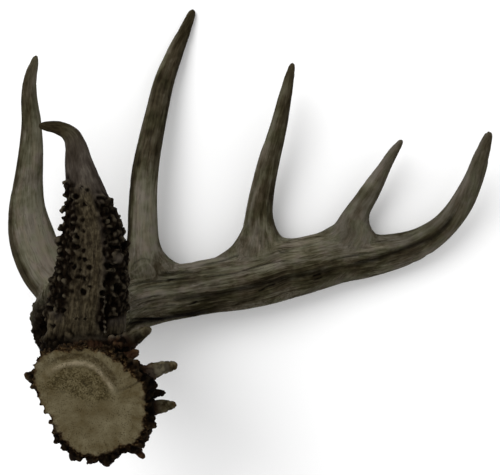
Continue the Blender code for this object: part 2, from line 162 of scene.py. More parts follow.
# Small points on the side of the burr and of the beam's base, smoother than the pearls round them. The
# first three are the long ones.
KICKERS = (
    (
        (-81.5, -84.5, 138, 7, 8),
        (-72.5, -78.7, 141, 5, 5.3),
        (-68, -75.9, 141, 3.8, 3.9),
        (-65, -74.1, 141, 2.7, 2.6),
    ),
    (
        (-73.5, -101.2, 152, 6.4, 7),
        (-62.5, -97.5, 151, 5.3, 5.4),
        (-56, -94.7, 150, 4.1, 4.1),
        (-49.6, -93.2, 150, 2.7, 2.6),
    ),
    (
        (-67.5, -118, 152, 5, 6),
        (-55.5, -116.8, 149, 3.8, 3.9),
        (-51, -116.3, 148, 2.9, 2.9),
        (-49.8, -116.1, 148, 2.3, 2.3),
    ),
    ((-67.5, -109, 156, 4.5, 4.5), (-58.5, -108.3, 156, 2.8, 2.8), (-54.5, -107.6, 156, 1.4, 1.4)),
    ((-70.5, -134.5, 160, 4, 4), (-66, -139, 160, 2.8, 2.8), (-65, -140.2, 160, 1.7, 1.7)),
    ((-118.5, -100, 163, 4.5, 4.5), (-123.5, -97.8, 163, 3.2, 3.2), (-124.7, -97.3, 163, 2.4, 2.4)),
    ((-76.5, -90.5, 148, 4.5, 4.5), (-72.5, -87.1, 149, 3, 3), (-71, -86.3, 149, 2.2, 2.2)),
)
LONG_KICKERS = 3
KICKER_SPACING = 1

# The seal, the pale face where the antler broke from the skull. The radii are at even angles.
SEAL_CENTRE = (-90.5, -110.5, 172)
SEAL_NORMAL = Vector((-0.05, -0.14, 1)).normalized()
SEAL_RADII = (30, 31, 29, 29, 30, 31.5, 35, 38.5, 34, 28.4, 24.8, 26, 28.5, 30.5, 30.5, 30.5, 33, 31.8)
RIDGE_RADII = (40, 15, 15.8, 17.2, 21, 24, 26.6, 29.2, 32, 40)  # every 20 degrees, from 0 to 180
RIDGE_STEP = 20
LEDGE_DEPTH = 1.7
LEDGE_SLOPE = 1.8

# The burr: how far it reaches past the seal's edge, at even angles, and its flank, which is how far
# past that reach and how far below the seal.
BURR_REACH = (3.2, 3.2, 3, 2.6, 2.4, 2.4, 2, 1, 1, 0, -0.6, 1.2, 3.8, 4.6, 4.6, 4, 3, 3)
BURR_PROFILE = ((-1.6, -3), (-1.8, -6.5), (-5, -10.5), (-10, -15.5))
# Rows of beads round the burr: how far past its reach, height, radius, length for its width, count.
CORONET = (
    (-1.2, -1.5, 0.95, 1.3, 112),
    (-0.9, -4.3, 2.2, 1.35, 50),
    (-0.6, -7.2, 1.6, 1.25, 76),
    (-2.4, -9.8, 2.3, 1.2, 46),
    (-6.3, -14.0, 1.9, 1.1, 44),
)
# How large the beads are for their row, at even angles: small at the top, where the brow tine is.
CORONET_SIZES = (
    1, 1.05, 0.9, 0.65, 0.5, 0.5, 0.5, 0.6, 0.85, 0.7, 0.8, 0.9, 1.05, 1.1, 1.05, 1.15, 1.15, 1,
)

LIMBS = {
    "main_beam": (MAIN_BEAM, "Y"),
    "brow_tine": (BROW_TINE, "Z"),
    "second_tine": (SECOND_TINE, "Z"),
    "third_tine": (THIRD_TINE, "Z"),
    "fourth_tine": (FOURTH_TINE, "Z"),
    "fifth_tine": (FIFTH_TINE, "Z"),
}

# The tines, with the share of its length at which each one is clear of the beam.
FORKS = {
    "brow_tine": 0.30,
    "second_tine": 0.205,
    "third_tine": 0.165,
    "fourth_tine": 0.19,
    "fifth_tine": 0.33,
}
TINES = list(FORKS)
FORK_RADIUS = 34
FORK_ROUNDS = 24  # how many times the skin is evened out there

SKIN_LOSS = 0.4  # what evening out the skin takes off all round, more where it is thin, and off a tip
THIN_LOSS = 1
TIP_LOSS = 2.6
RING_SIDES = 40
RING_SPACING = 2.5
FUSE_VOXEL = 1.5
FINISH_VOXEL = 0.75
TRIANGLES = 190_000
GOLDEN = ((math.sqrt(5) - 1) / 2, 0.7548776662466927)  # steps that spread evenly and never repeat

# Patches of pearls: limb, share of its length from and to, angle round it from and to.
BROW_LEFT = ("brow_tine", 0.15, 0.70, -75, 66)
BROW_MIDDLE = ("brow_tine", 0.2, 0.68, 58, 84)
BROW_FOOT = ("brow_tine", -0.1, 0.2, -90, 28)
BROW_RIGHT = ("brow_tine", 0.15, 0.61, 117, 235)
BROW_UNDER = ("brow_tine", 0.2, 0.55, 235, 300)
BASE_LEFT = ("main_beam", 0.03, 0.19, -85, 62)
BASE_RIGHT = ("main_beam", 0.03, 0.17, 112, 262)
CROWDED_PATCHES = (BROW_LEFT, BROW_FOOT, BROW_RIGHT, BROW_UNDER, BASE_LEFT, BASE_RIGHT)
# Pearls that stand in the patches: spacing, smallest and largest radius, seed, patches.
PEARL_FIELDS = (
    (4.4, 1.1, 2.2, 3, (BROW_LEFT, BROW_UNDER)),
    (5.4, 0.9, 1.9, 4, (BROW_MIDDLE,)),
    (5.0, 1.3, 2.8, 6, (BROW_FOOT,)),
    (5.0, 1.5, 3.0, 8, (BROW_RIGHT,)),
    (4.6, 1.2, 2.5, 5, (BASE_LEFT, BASE_RIGHT)),
)
PEARL_LENGTH = 0.75  # for its width
BEAD_LENGTH = 1.1
PEARL_CELL = 3.1  # between the small nubs and holes that fill in between the pearls
# Patches blackened further, with how much.
BLACKENED_PATCHES = (
    (0.3, BROW_RIGHT),
    (0.7, BASE_LEFT),
    (0.6, ("brow_tine", 0.15, 0.70, -90, 12)),
)

# Broad patches of patina on each limb: share of its length from and to, angle from and to, how much
# paler than the rest, or darker where it is negative. The darker patches on the beam's lower side and on
# the left sides of the second and third tines are painted shade.
PATINA_AND_SHADE = {
    "second_tine": (
        (0.12, 0.50, 62, 155, 0.9), (0.50, 0.72, 60, 150, 0.35), (0.25, 1.1, 128, 175, 0.5),
        (0.88, 1.4, 115, 230, 0.5), (0.84, 1.4, -60, 30, 0.4), (0.40, 0.70, 55, 110, -0.35),
        (0.10, 0.90, -30, 50, -0.5),
    ),
    "third_tine": (
        (0.12, 0.38, 55, 160, 0.9), (0.46, 0.80, 50, 240, -0.5), (0.10, 0.45, 0, 52, -1.0),
        (0.50, 0.75, 0, 50, -0.35), (0.78, 1.0, -60, 60, 0.3), (0.80, 1.2, 62, 250, -0.7),
    ),
    "fourth_tine": (
        (0.10, 0.24, 60, 130, 0.35), (0.25, 0.38, 60, 150, -0.4), (0.38, 1.2, 75, 230, -0.45),
        (0.10, 1.2, 22, 55, 0.2),
    ),
    "fifth_tine": (
        (0.10, 0.50, 0, 70, 0.3), (0.50, 0.72, 50, 180, -0.1), (0.60, 1.3, 0, 70, 1.2),
        (0.10, 0.65, 98, 132, 0.5),
    ),
    "main_beam": (
        (0.38, 0.53, 80, 128, 1.5), (0.30, 0.52, 168, 205, 0.35), (0.42, 0.58, 138, 164, -0.35),
        (0.52, 0.80, 122, 168, 0.3), (0.42, 0.66, 80, 124, 0.6), (0.68, 0.88, 126, 155, 0.2),
        (0.36, 0.55, 226, 246, -0.5), (0.86, 1.0, 125, 165, 0.35), (0.90, 1.3, 150, 200, 0.8),
        (0.49, 0.74, 182, 230, -0.6), (0.76, 0.90, 168, 212, -0.5), (0.26, 0.46, 218, 300, -1.1),
        (0.56, 0.84, 234, 275, 0.35),
    ),
    "brow_tine": (
        (0.93, 1.4, -180, 180, -1.6), (0.68, 0.88, -180, 180, 0.15), (0.60, 0.85, -60, 45, -0.4),
    ),
}
PATINA_AND_SHADE_EDGES = (0.14, 0.16, 32)  # over how much of the length, and how many degrees, a patch fades

# Grooves and streaks along the beam, and the swirl at the third tine's root: half width; depth, or
# height where it is negative; how dark the stain is, or how pale where it is negative; and the places
# that it runs through, x, y, z. The dark band with no depth along the beam's lower edge is painted
# shade, and the long gutter's dark is partly painted shade.
BEAM_LINES = (
    # The long gutter: a real groove, its dark partly painted shade.
    (4.6, 1.5, 0.55, (
        (-61.5, -61, 37), (-44, -60.5, 36.5), (-26.5, -58, 36), (-10, -54.5, 36), (6.5, -50.5, 35.5),
        (28, -46, 34), (55, -41, 30), (66, -39, 28.5)
    )),
    (3.4, 1.2, 0.6, (
        (66, -38.5, 28.5), (80.5, -35.5, 26), (95, -31, 24.5), (105.5, -27, 23.5), (120, -21.5, 23.5),
        (130.5, -16.5, 25.5), (138, -9.5, 27), (142, -2.5, 28.5), (145, 4.5, 30)
    )),
    (1.1, -0.45, -0.25, (
        (-79, -63, 38), (-58, -57.5, 37), (-44, -55, 36.5), (-26.5, -52.5, 36.5), (-12.5, -50.5, 36.5)
    )),
    (1.1, -0.5, -0.3, (
        (-47.5, -51, 36.5), (-29, -48.5, 36), (-12.5, -45, 36), (3, -40.5, 35), (13.5, -37, 34.5),
        (28, -34.5, 34), (55, -32, 31), (75, -28, 27), (91.5, -24.5, 23.5), (104.5, -20.5, 21.5)
    )),
    (0.8, 0.5, 0.5, (
        (-37, -46, 35), (-29.5, -45, 35), (-12.5, -42.5, 35), (3, -38, 34.5), (16, -35, 34),
        (28, -33.5, 33.5)
    )),
    (1.0, 0.5, 0.5, ((-44, -64, 35.5), (-39, -63, 35), (-30, -62, 35), (-21.5, -60.5, 35))),
    (0.9, 0.7, 0.9, ((-45, -65, 35), (-42, -64.5, 35), (-38.5, -63, 35))),
    (0.9, 0.7, 0.9, ((3, -56, 34.5), (6.5, -55, 34.5), (11, -52.5, 35), (18, -50.5, 34.5))),
    (0.7, 0.4, 0.6, ((-12.5, -65.5, 31.5), (-9, -64, 31.5))),
    (0.8, 0.5, 0.8, ((43.5, -47.5, 30.5), (47, -47, 30), (50.5, -45.5, 29.5))),
    (0.8, 0.5, 0.8, ((43, -45.5, 31.5), (46.5, -44.5, 31), (49.5, -43.5, 30.5))),
    (0.8, 0.35, 0.5, ((17.5, -26, 30), (20, -27.5, 31.5), (22.5, -28.5, 32))),
    (0.8, 0.35, 0.5, ((20.5, -25.5, 30), (23.5, -26.5, 30.5), (27, -27.5, 31.5))),
    (1.5, 0.5, 0.5, ((-65.5, -43, 33.5), (-58.5, -42.5, 32), (-49, -42, 31.5), (-40, -41.5, 32.5))),
    (1.5, 0.5, 0.5, ((-61.5, -47.5, 34.5), (-51, -46.5, 34.5), (-42.5, -45, 34))),
    (1.3, 0.45, 0.4, ((-39, -38, 29), (-26.5, -35.5, 28.5), (-16, -32.5, 28.5), (-7.5, -29, 30))),
    (1.3, 0.5, 0.5, ((-89, -53, 40), (-78, -49.5, 35.5), (-64.5, -48, 35), (-51, -46, 34))),
    (0.9, 0.4, 0.35, ((-67.5, -44.5, 34), (-59.5, -44.5, 33), (-51.5, -44, 33))),
    (1.0, 0.4, 0.35, ((-87.5, -55, 40.5), (-70, -52.5, 36.5), (-51, -50, 36), (-33.5, -48.5, 36))),
    (1.1, 0.4, 0.4, ((-85.5, -63, 41.5), (-72, -59.5, 37.5), (-61.5, -58, 37))),
    (1.0, 0.45, 0.55, ((-77.5, -68.5, 37), (-65, -66.5, 36), (-51, -64.5, 35.5))),
    (1.2, 0.7, 0.9, ((-96, -72.5, 1.5), (-86, -69.5, 43), (-81.5, -69.5, 38))),
    # Painted shade along the beam's lower edge, with no groove under it.
    (3.4, 0, 0.95, (
        (-95, -78.5, 35), (-79.5, -77.4, 33), (-69, -76.4, 30), (-58.6, -74.5, 29.5), (-48, -73, 29),
        (-37.3, -71, 29), (-26.6, -68.8, 29.5)
    )),
    (1.4, 0.6, 0.7, ((-87, -75, 41.5), (-78, -75, 34.5), (-62, -75.5, 29.5))),
    (0.9, -0.35, -0.3, (
        (-88, -43, 33.5), (-83, -41, 34.5), (-79.5, -37.5, 35), (-74, -35.5, 34.5), (-70.5, -38.5, 34),
        (-68.5, -42.5, 34), (-69, -45, 34.5), (-77.5, -47, 35), (-86.5, -48.5, 35.5)
    )),
    (0.9, -0.3, -0.25, ((-86.5, -41.5, 34), (-81.5, -44, 35), (-77.5, -41.5, 35), (-76, -38, 35))),
    (1.0, 0.35, 0.3, ((-86, -39.5, 34), (-82, -35, 34.5), (-76, -32.5, 35), (-70.5, -34.5, 33.5))),
    (1.2, 0.45, 0.5, ((51.5, -35, 31.5), (62, -32.5, 29.5), (75, -30, 27.5), (90, -27, 24.5))),
    (1.0, 0.4, 0.5, ((71, -36.5, 27.5), (80.5, -33.5, 26.5), (95, -28.5, 24.5), (104.5, -24.5, 23.5))),
)
# The same on the tines, the kickers and the seal, and last the dark groove beside the brow tine's foot.
TINE_LINES = (
    (1.5, 0.3, 0.45, ((-71.5, 60, 28), (-72, 53.5, 29.5), (-73, 47, 30.5))),
    (1.5, 0.25, 0.4, ((-61, 97.5, 18), (-63, 90.5, 20), (-64.5, 84.5, 21.5))),
    (1.2, 0.2, 0.35, ((-48, 134.5, 8), (-49.5, 129, 9), (-51.5, 123, 10.5))),
    (1.6, 0.2, 0.35, ((-79, 45.5, 30), (-80.5, 38.5, 31.5), (-81.5, 31.5, 32))),
    (1.4, 0.25, 0.3, ((3.5, -9.5, 30), (3.5, -14, 30), (3, -18, 30.5))),
    (1.4, 0.25, 0.35, ((5.5, -19.5, 30.5), (5.5, -23, 31))),
    (1.4, 0.2, 0.4, ((11.5, 9, 28), (11.5, 0.5, 27.5), (11.5, -8, 28))),
    (1.2, 0.2, 0.3, ((-3, -6, 27), (-3, -13, 28))),
    (1.4, -0.3, -0.35, ((-77, 33.5, 33.5), (-77, 15.5, 35.5), (-77.5, -2, 36), (-78.5, -16, 35.5))),
    # Painted shade over the first long kicker's root, with no groove under it.
    (7.5, 0, 0.85, ((-78, -81.5, 142), (-70.5, -77.5, 144), (-64, -73.8, 143))),
    (6, 0, -0.2, ((-62, -97.2, 155), (-54, -94.3, 153), (-47, -92.5, 151))),
    (0.9, 0.35, 0.5, ((-77, -104.5, 173.5), (-69, -101, 173.5), (-62, -97.5, 174))),
    (3.2, 0.6, 0.9, ((-87, -50.5, 145.5), (-87.5, -60.5, 144.3), (-88, -68, 143.5), (-88, -75, 142))),
)
MARK_SQUASH = 0.3  # how much less a height off a mark counts than a distance across it

# Holes between the pearls of the brow tine and the beam's base: x, y, z, half width along X and along
# Y, and depth.
HOLLOWS = (
    (-128.5, -72, 125, 4.6, 6.6, 3), (-131, -72.3, 110, 5.2, 6.6, 1.5),
    (-120.5, -60, 136.5, 2.9, 2.1, 2.2), (-119, -70.5, 138, 1.9, 1.4, 1.2),
    (-84.5, -41.5, 139, 3.0, 4.8, 3.2), (-80, -48.5, 139, 1.8, 3.0, 2.2),
    (-81.5, -56.5, 139, 2.0, 2.6, 1.8), (-88, -50, 144, 1.6, 1.8, 1.8),
    (-99.5, -49.5, 146, 1.6, 2.2, 1.8), (-102, -40, 146, 2.6, 1.2, 1.3),
    (-96, -35.5, 146.5, 1.5, 1.9, 1.4), (-99, -42, 146.5, 1.1, 1.8, 1.0),
    (-104.5, -34.5, 147, 1.5, 1.4, 1.3), (-103.5, 6.5, 146, 2.0, 1.4, 1.4),
    (-100, 12.5, 146.5, 1.2, 0.7, 0.8), (-97, 10.5, 146, 1.2, 1.1, 0.8),
    (-89, 5.5, 142, 2.4, 1.3, 1.4), (-110, 14, 142, 1.3, 1.2, 1.0), (-110, 0.5, 140.5, 1.5, 1.8, 1.3),
    (-104, 2.5, 146, 1.8, 0.7, 0.9), (-99, 1.5, 146.5, 1.3, 0.9, 0.9),
    (-106, -2.5, 144.5, 1.5, 1.1, 1.1), (-105, -7, 145, 1.9, 1.3, 1.3),
    (-99.5, -8, 146.5, 1.6, 1.5, 1.4), (-106, -13, 145, 1.5, 1.8, 1.3),
    (-99, -13.5, 146.5, 1.2, 0.9, 0.9), (-103.5, -18, 145.5, 1.6, 1.2, 1.3),
    (-107, -18.5, 144, 1.1, 0.8, 0.9), (-104, -23.5, 145, 2.1, 1.4, 1.4),
    (-99, -25, 146, 1.3, 1.5, 1.2), (-111.5, -29.5, 142.5, 1.2, 2.4, 1.2),
    (-98.5, -30.5, 146.5, 1.5, 1.1, 1.1), (-116, -50.5, 140.5, 1.4, 1.3, 1.1),
    (-111.5, -61, 143, 1.5, 0.9, 1.0), (-95, -46.5, 146, 0.9, 1.3, 0.9),
    (-104, -65, 144.5, 0.8, 0.7, 0.8), (-99, -66, 144.5, 0.8, 0.9, 0.8),
    (-87, -7.5, 144, 1.5, 1.2, 1.3), (-84, -6, 143, 1.2, 1.4, 1.3), (-88, 1, 142.5, 1.3, 1.3, 1.2),
    (-83, -13.5, 141, 2.0, 1.2, 1.4), (-85.5, -18, 144, 1.5, 1.2, 1.3),
    (-83.5, -21.5, 146, 1.2, 1.1, 1.1), (-81, -23.5, 142, 2.0, 1.1, 1.4),
    (-87, -26.5, 146.5, 1.1, 2.3, 1.6), (-77.5, -23.5, 134.5, 1.7, 2.7, 2.0),
    (-85, -34.5, 141.5, 2.7, 1.4, 2.0),
)
# Beads that stand out on the edges of the brow tine, the beam's base and the burr: x, y, z, radius.
EDGE_BEADS = (
    (-109.8, 14.5, 143.5, 2.2), (-111.3, 7.5, 140.5, 1.6), (-111.8, 1, 139, 1.8),
    (-113.3, -2, 139, 1.7), (-112.3, -6, 138, 1.7), (-113.3, -12, 138, 2.3), (-115.8, -19, 135.5, 2.8),
    (-114.3, -25, 138.5, 2.2), (-114.3, -30.5, 140, 2.2), (-114.8, -37.5, 141.5, 2),
    (-119.3, -43, 137, 2.5), (-80.5, -30, 142, 4.1), (-75.5, -21, 131, 1.9), (-76, -26.5, 134.5, 1.8),
    (-76.5, -32.5, 133, 1.8), (-75.5, -38.5, 138, 1.7), (-87, -52.5, 143.5, 1.3),
    (-80.5, -81, 145, 2.3), (-79.6, -77.2, 143.5, 2), (-77.4, -80.3, 145.8, 1.9),
    (-75.6, -75.4, 143.8, 1.8), (-83.5, -77, 142, 2.4), (-122, -101.4, 168.5, 1.9),
    (-120.3, -107.2, 168.3, 1.6), (-118.9, -111.3, 168.3, 1.5), (-116.6, -115.5, 168.5, 1.7),
    (-113.8, -121.4, 168.5, 1.5), (-111.8, -127.2, 167.5, 1.8), (-110.5, -131.5, 166, 2.8),
    (-106.5, -136.3, 166, 2.4),
)
# The row of pale beads in the dark groove beside the brow tine's foot: x, y, z, radius.
BEAD_ROW = (
    (-87, -52.5, 144.8, 1.5), (-87, -55.2, 145, 1.5), (-87.4, -58.2, 144.5, 1.6),
    (-87.5, -61, 144.2, 1.5), (-87.2, -64, 144, 1.5), (-87.4, -67, 143.7, 1.5),
    (-87.5, -70.3, 143, 1.6), (-87.4, -73.2, 142.8, 1.4),
)

# The camera looks straight down on the antler; the lens and its sensor are in millimetres too.
CAMERA_PLACE = (-1.8, -19, 700)
LENS, SENSOR = 67.97, 36
# The light, in metres: a soft one from above the tines' tips, and a pale sky all round.
KEY_PLACE = (-1.5, 1.6, 2.7)
KEY_AIM = (0, 0, 0.05)
KEY_SIZE = 2.4
KEY_WATTS = 75
SKY_STRENGTH = 0.85
FLOOR_RADIUS = 4
FLOOR_GREY = 0.9


def smooth_step(x):
    """0 below 0 and 1 above 1, with a smooth step between."""
    x = np.clip(x, 0, 1)
    return x * x * (3 - 2 * x)


def past(values, start, over):
    """0 up to the start, rising to 1 over that much more."""
    return smooth_step((values - start) / over)


def short_of(values, end, over):
    """0 from the end on, and 1 where the values are that much short of it."""
    return smooth_step((end - values) / over)


def near_to(values, middle, reach, over):
    """0 beyond that reach of the middle, rising to 1 over that much towards it."""
    return short_of(np.abs(values - middle), reach, over)


def curve_through(stations, spacing):
    """The stations joined by a centripetal Catmull-Rom curve and read at an even spacing along it."""
    rows = np.array(stations, float)
    ends = np.vstack([2 * rows[0] - rows[1], rows, 2 * rows[-1] - rows[-2]])
    knots = np.concatenate([[0], np.cumsum(np.linalg.norm(np.diff(ends[:, :3], axis=0), axis=1) ** 0.5)])
    fine = []
    for i in range(1, len(ends) - 2):
        t = np.linspace(knots[i], knots[i + 1], 24, endpoint=False)[:, None]
        p, k = ends[i - 1 : i + 3], knots[i - 1 : i + 3]
        a = [((k[j + 1] - t) * p[j] + (t - k[j]) * p[j + 1]) / (k[j + 1] - k[j]) for j in range(3)]
        b = [((k[j + 2] - t) * a[j] + (t - k[j]) * a[j + 1]) / (k[j + 2] - k[j]) for j in range(2)]
        fine.append(((k[2] - t) * b[0] + (t - k[1]) * b[1]) / (k[2] - k[1]))
    fine = np.vstack([*fine, ends[-2:-1]])
    along = np.concatenate([[0], np.cumsum(np.linalg.norm(np.diff(fine[:, :3], axis=0), axis=1))])
    even = np.linspace(0, along[-1], max(2, round(along[-1] / spacing) + 1))
    return np.column_stack([np.interp(even, along, fine[:, c]) for c in range(fine.shape[1])])


def nearest_rows(rows, points):
    """For each point, the index of the nearest of the rows and how far it is."""
    index, away = np.empty(len(points), int), np.empty(len(points))
    for start in range(0, len(points), 20_000):
        some = points[start : start + 20_000]
        square = (rows**2).sum(1) - 2 * some @ rows.T
        best = square.argmin(1)
        index[start : start + 20_000] = best
        away[start : start + 20_000] = np.linalg.norm(some - rows[best], axis=1)
    return index, away


# Where points lie from a limb: across it two ways and along it, their share of its length, their angle
# round it in degrees, and how far outside its skin they are.
Place = namedtuple("Place", "grain share angle outside")


class Limb:
    """The beam or a tine: its centre line with the two directions across it at every sample."""

    def __init__(self, stations, reference, spacing=RING_SPACING):
        rows = curve_through(stations, spacing)
        sizes = rows[:, 3:] + SKIN_LOSS + THIN_LOSS / rows[:, 3:]
        self.centre, self.wide, self.thick = rows[:, :3], sizes[:, 0], sizes[:, 1]
        tangent = np.gradient(self.centre, axis=0)
        self.along = tangent / np.linalg.norm(tangent, axis=1)[:, None]
        axis = np.array({"X": (1, 0, 0), "Y": (0, 1, 0), "Z": (0, 0, 1)}[reference], float)
        across = axis - (self.along @ axis)[:, None] * self.along
        self.up = across / np.linalg.norm(across, axis=1)[:, None]
        self.side = np.cross(self.up, self.along)
        self.step = np.linalg.norm(np.diff(self.centre, axis=0), axis=1).mean()
        self.length = self.step * (len(self.centre) - 1)

    def at(self, share):
        """Index of the sample at that share of the length."""
        return round(share * (len(self.centre) - 1))

    def ring(self, i, size=1.0, forward=0.0):
        turn = np.arange(RING_SIDES) * 2 * math.pi / RING_SIDES
        middle = self.centre[i] + self.along[i] * forward
        side = np.outer(np.cos(turn), self.side[i]) * self.wide[i] * size
        return middle + side + np.outer(np.sin(turn), self.up[i]) * self.thick[i] * size

    def rings(self):
        """Rings from root to tip, with the tip rounded off."""
        found = [self.ring(i) for i in range(len(self.centre))]
        for turn in np.radians((25, 50, 72)):
            found.append(self.ring(-1, math.cos(turn), math.sin(turn) * (self.wide[-1] + TIP_LOSS)))
        return found

    def place(self, points):
        """Where points lie from the limb, with what lies past its tip measured on from there."""
        index, _ = nearest_rows(self.centre, points)
        step = np.einsum("ij,ij->i", points - self.centre[index], self.along[index]) / self.step
        place = np.clip(index + np.clip(step, -0.6, 0.6), 0, len(self.centre) - 1.001)
        low = place.astype(int)
        t = (place - low)[:, None]

        def read(rows):
            rows = rows if rows.ndim == 2 else rows[:, None]
            return rows[low] * (1 - t) + rows[low + 1] * t

        off = points - read(self.centre)
        a, b = (off * read(self.side)).sum(1), (off * read(self.up)).sum(1)
        past_end = np.where((index == len(self.centre) - 1) & (step > 0), step * self.step, 0)
        wide, thick = read(self.wide)[:, 0], read(self.thick)[:, 0]
        outside = (np.hypot(a / wide, b / thick) - 1) * np.sqrt(wide * thick) + past_end
        grain = np.column_stack([a, b, place * self.step + past_end])
        angle = np.degrees(np.arctan2(b / thick, a / wide)) % 360
        return Place(grain, place / (len(self.centre) - 1), angle, outside)


def hashed(x, y, z, seed):
    """An even number from 0 to 1 for each place of a lattice."""
    mixed = x * 73856093 ^ y * 19349663 ^ z * 83492791 ^ seed * 2654435761
    mixed = (mixed ^ mixed >> 13) * 1274126177 & 0x7FFFFFFF
    return ((mixed ^ mixed >> 16) & 0xFFFF) / 0xFFFF


def noise(places, seed=0):
    """Smooth noise from 0 to 1 with features one unit apart."""
    low = np.floor(places).astype(np.int64)
    t = smooth_step(places - low)
    total = 0
    for corner in range(8):
        step = np.array([corner & 1, corner >> 1 & 1, corner >> 2])
        share = np.where(step, t, 1 - t).prod(1)
        total = total + share * hashed(*(low + step).T, seed)
    return total


def scattered(places, seed):
    """How far places are from the nearest of spots, one to a unit cell, and that spot's own number."""
    low = np.floor(places).astype(np.int64)
    best, own = np.full(len(places), 9.0), np.zeros(len(places))
    for corner in range(27):
        cell = low + np.array([corner % 3, corner // 3 % 3, corner // 9]) - 1
        spot = cell + np.column_stack([hashed(*cell.T, seed + k) for k in range(3)])
        away = np.linalg.norm(places - spot, axis=1)
        closer = away < best
        best[closer], own[closer] = away[closer], hashed(*cell[closer].T, seed + 3)
    return best, own


def loft(bm, rings):
    """A closed tube through the rings, which are in millimetres."""
    loops = [[bm.verts.new(Vector(p) * MM) for p in ring] for ring in rings]
    for low, high in zip(loops, loops[1:]):
        for i, vertex in enumerate(low):
            after = (i + 1) % len(low)
            bm.faces.new((vertex, low[after], high[after], high[i]))
    bm.faces.new(list(reversed(loops[0])))
    bm.faces.new(loops[-1])


def seal_axes():
    """The seal's own directions: to its right, to its top in the photo, and out of its face."""
    normal = np.array(SEAL_NORMAL)
    right = np.cross((0, 1, 0), normal)
    right /= np.linalg.norm(right)
    return right, np.cross(normal, right), normal


def round_outline(radii, angle):
    """The radius at that angle, on a smooth closed curve through radii at even angles."""
    step = 2 * math.pi / len(radii)
    place = np.asarray(angle) % (2 * math.pi) / step
    i = np.floor(place).astype(int)
    t = place - i
    p = [np.take(radii, (i + k) % len(radii)) for k in (-1, 0, 1, 2)]
    bend = (-p[0] + 3 * p[1] - 3 * p[2] + p[3]) * t**3 + (2 * p[0] - 5 * p[1] + 4 * p[2] - p[3]) * t**2
    return p[1] + 0.5 * (bend + (p[2] - p[0]) * t)


def seal_ridge(angle):
    """How far out the seal's low ridge runs at that angle, how much the face steps down there, and how
    clearly the ridge is drawn."""
    degrees = np.degrees(angle) % 360
    ridge = np.interp(degrees, np.arange(len(RIDGE_RADII)) * RIDGE_STEP, RIDGE_RADII)
    fade = past(degrees, 4, 22) * short_of(degrees, 172, 26)
    return ridge, fade, past(degrees, 22, 22) * short_of(degrees, 156, 40)


def seal_height(angle, radius):
    """The seal is flat; past a low ridge on its upper side it drops to a ledge that runs to the edge."""
    ridge, fade, _ = seal_ridge(angle)
    edge = round_outline(SEAL_RADII, angle)
    outward = np.clip((radius - ridge) / np.maximum(edge - ridge, 1), 0, 1)
    return -LEDGE_DEPTH * fade * past(radius, ridge, LEDGE_SLOPE) * (1 - 0.55 * outward)


def seal_place(points):
    """Points' angle and radius on the seal, their height over it, and the seal's own height there."""
    right, front, normal = seal_axes()
    local = (points - SEAL_CENTRE) @ np.array([right, front, normal]).T
    radius, angle = np.hypot(local[:, 0], local[:, 1]), np.arctan2(local[:, 1], local[:, 0])
    return angle, radius, local[:, 2], seal_height(angle, radius)


def add_burr(bm):
    """The flange with the seal on top: rings out over the face, then down its flank."""
    right, front, normal = seal_axes()
    turn = np.arange(4 * RING_SIDES) * math.pi / (2 * RING_SIDES)
    edge = round_outline(SEAL_RADII, turn)
    heading = np.outer(np.cos(turn), right) + np.outer(np.sin(turn), front)
    centre = np.array(SEAL_CENTRE, float)

    def ring(radius, height):
        return centre + heading * radius[:, None] + normal * np.asarray(height)[..., None]

    face = [ring(edge * share, seal_height(turn, edge * share)) for share in np.linspace(0.04, 1, 48)]
    rim = seal_height(turn, edge)
    reach = edge + round_outline(BURR_REACH, turn)
    flank = [ring(reach + past, rim * max(0, 1 + height / 6) + height) for past, height in BURR_PROFILE]
    loft(bm, list(reversed(face + flank)))


def coronet_beads():
    """The beads that stand out round the burr: place, outward direction, radius and length."""
    right, front, normal = seal_axes()
    for row, (beyond, height, radius, length, count) in enumerate(CORONET):
        for i in range(count):
            wobble, other = (i * GOLDEN[0] + row * 0.37) % 1, (i * GOLDEN[1] + row * 0.21) % 1
            angle = (i + 0.5 * row + 0.6 * wobble) * 2 * math.pi / count
            size = radius * (0.6 + 0.7 * other) * round_outline(CORONET_SIZES, angle)
            out = right * math.cos(angle) + front * math.sin(angle)
            reach = round_outline(SEAL_RADII, angle) + round_outline(BURR_REACH, angle) + beyond
            place = np.array(SEAL_CENTRE) + out * (reach + 1.6 * (other - 0.5))
            place = place + normal * (height + 1.8 * (wobble - 0.5))
            yield place, out - 0.3 * normal, size, length + 0.5 * wobble


def linked(obj):
    bpy.context.scene.collection.objects.link(obj)
    return obj


def mesh_object(name, bm):
    mesh = bpy.data.meshes.new(name)
    bm.to_mesh(mesh)
    bm.free()
    return linked(bpy.data.objects.new(name, mesh))


def evaluated(obj):
    """The object's modifiers applied."""
    bpy.context.view_layer.update()
    mesh = bpy.data.meshes.new_from_object(obj.evaluated_get(bpy.context.evaluated_depsgraph_get()))
    obj.modifiers.clear()
    obj.data = mesh
    return obj


def fused(obj, voxel):
    """The overlapping shapes of a mesh made one skin."""
    remesh = obj.modifiers.new("fuse", "REMESH")
    remesh.mode, remesh.voxel_size = "VOXEL", voxel * MM
    return evaluated(obj)


def read_vectors(obj, name):
    """A vector of every vertex of the object's mesh: its co, or its normal."""
    values = np.empty(len(obj.data.vertices) * 3)
    obj.data.vertices.foreach_get(name, values)
    return values.reshape(-1, 3)


def points_of(obj):
    return read_vectors(obj, "co") / MM


def move_points(obj, points):
    obj.data.vertices.foreach_set("co", (points * MM).ravel())
    obj.data.update()


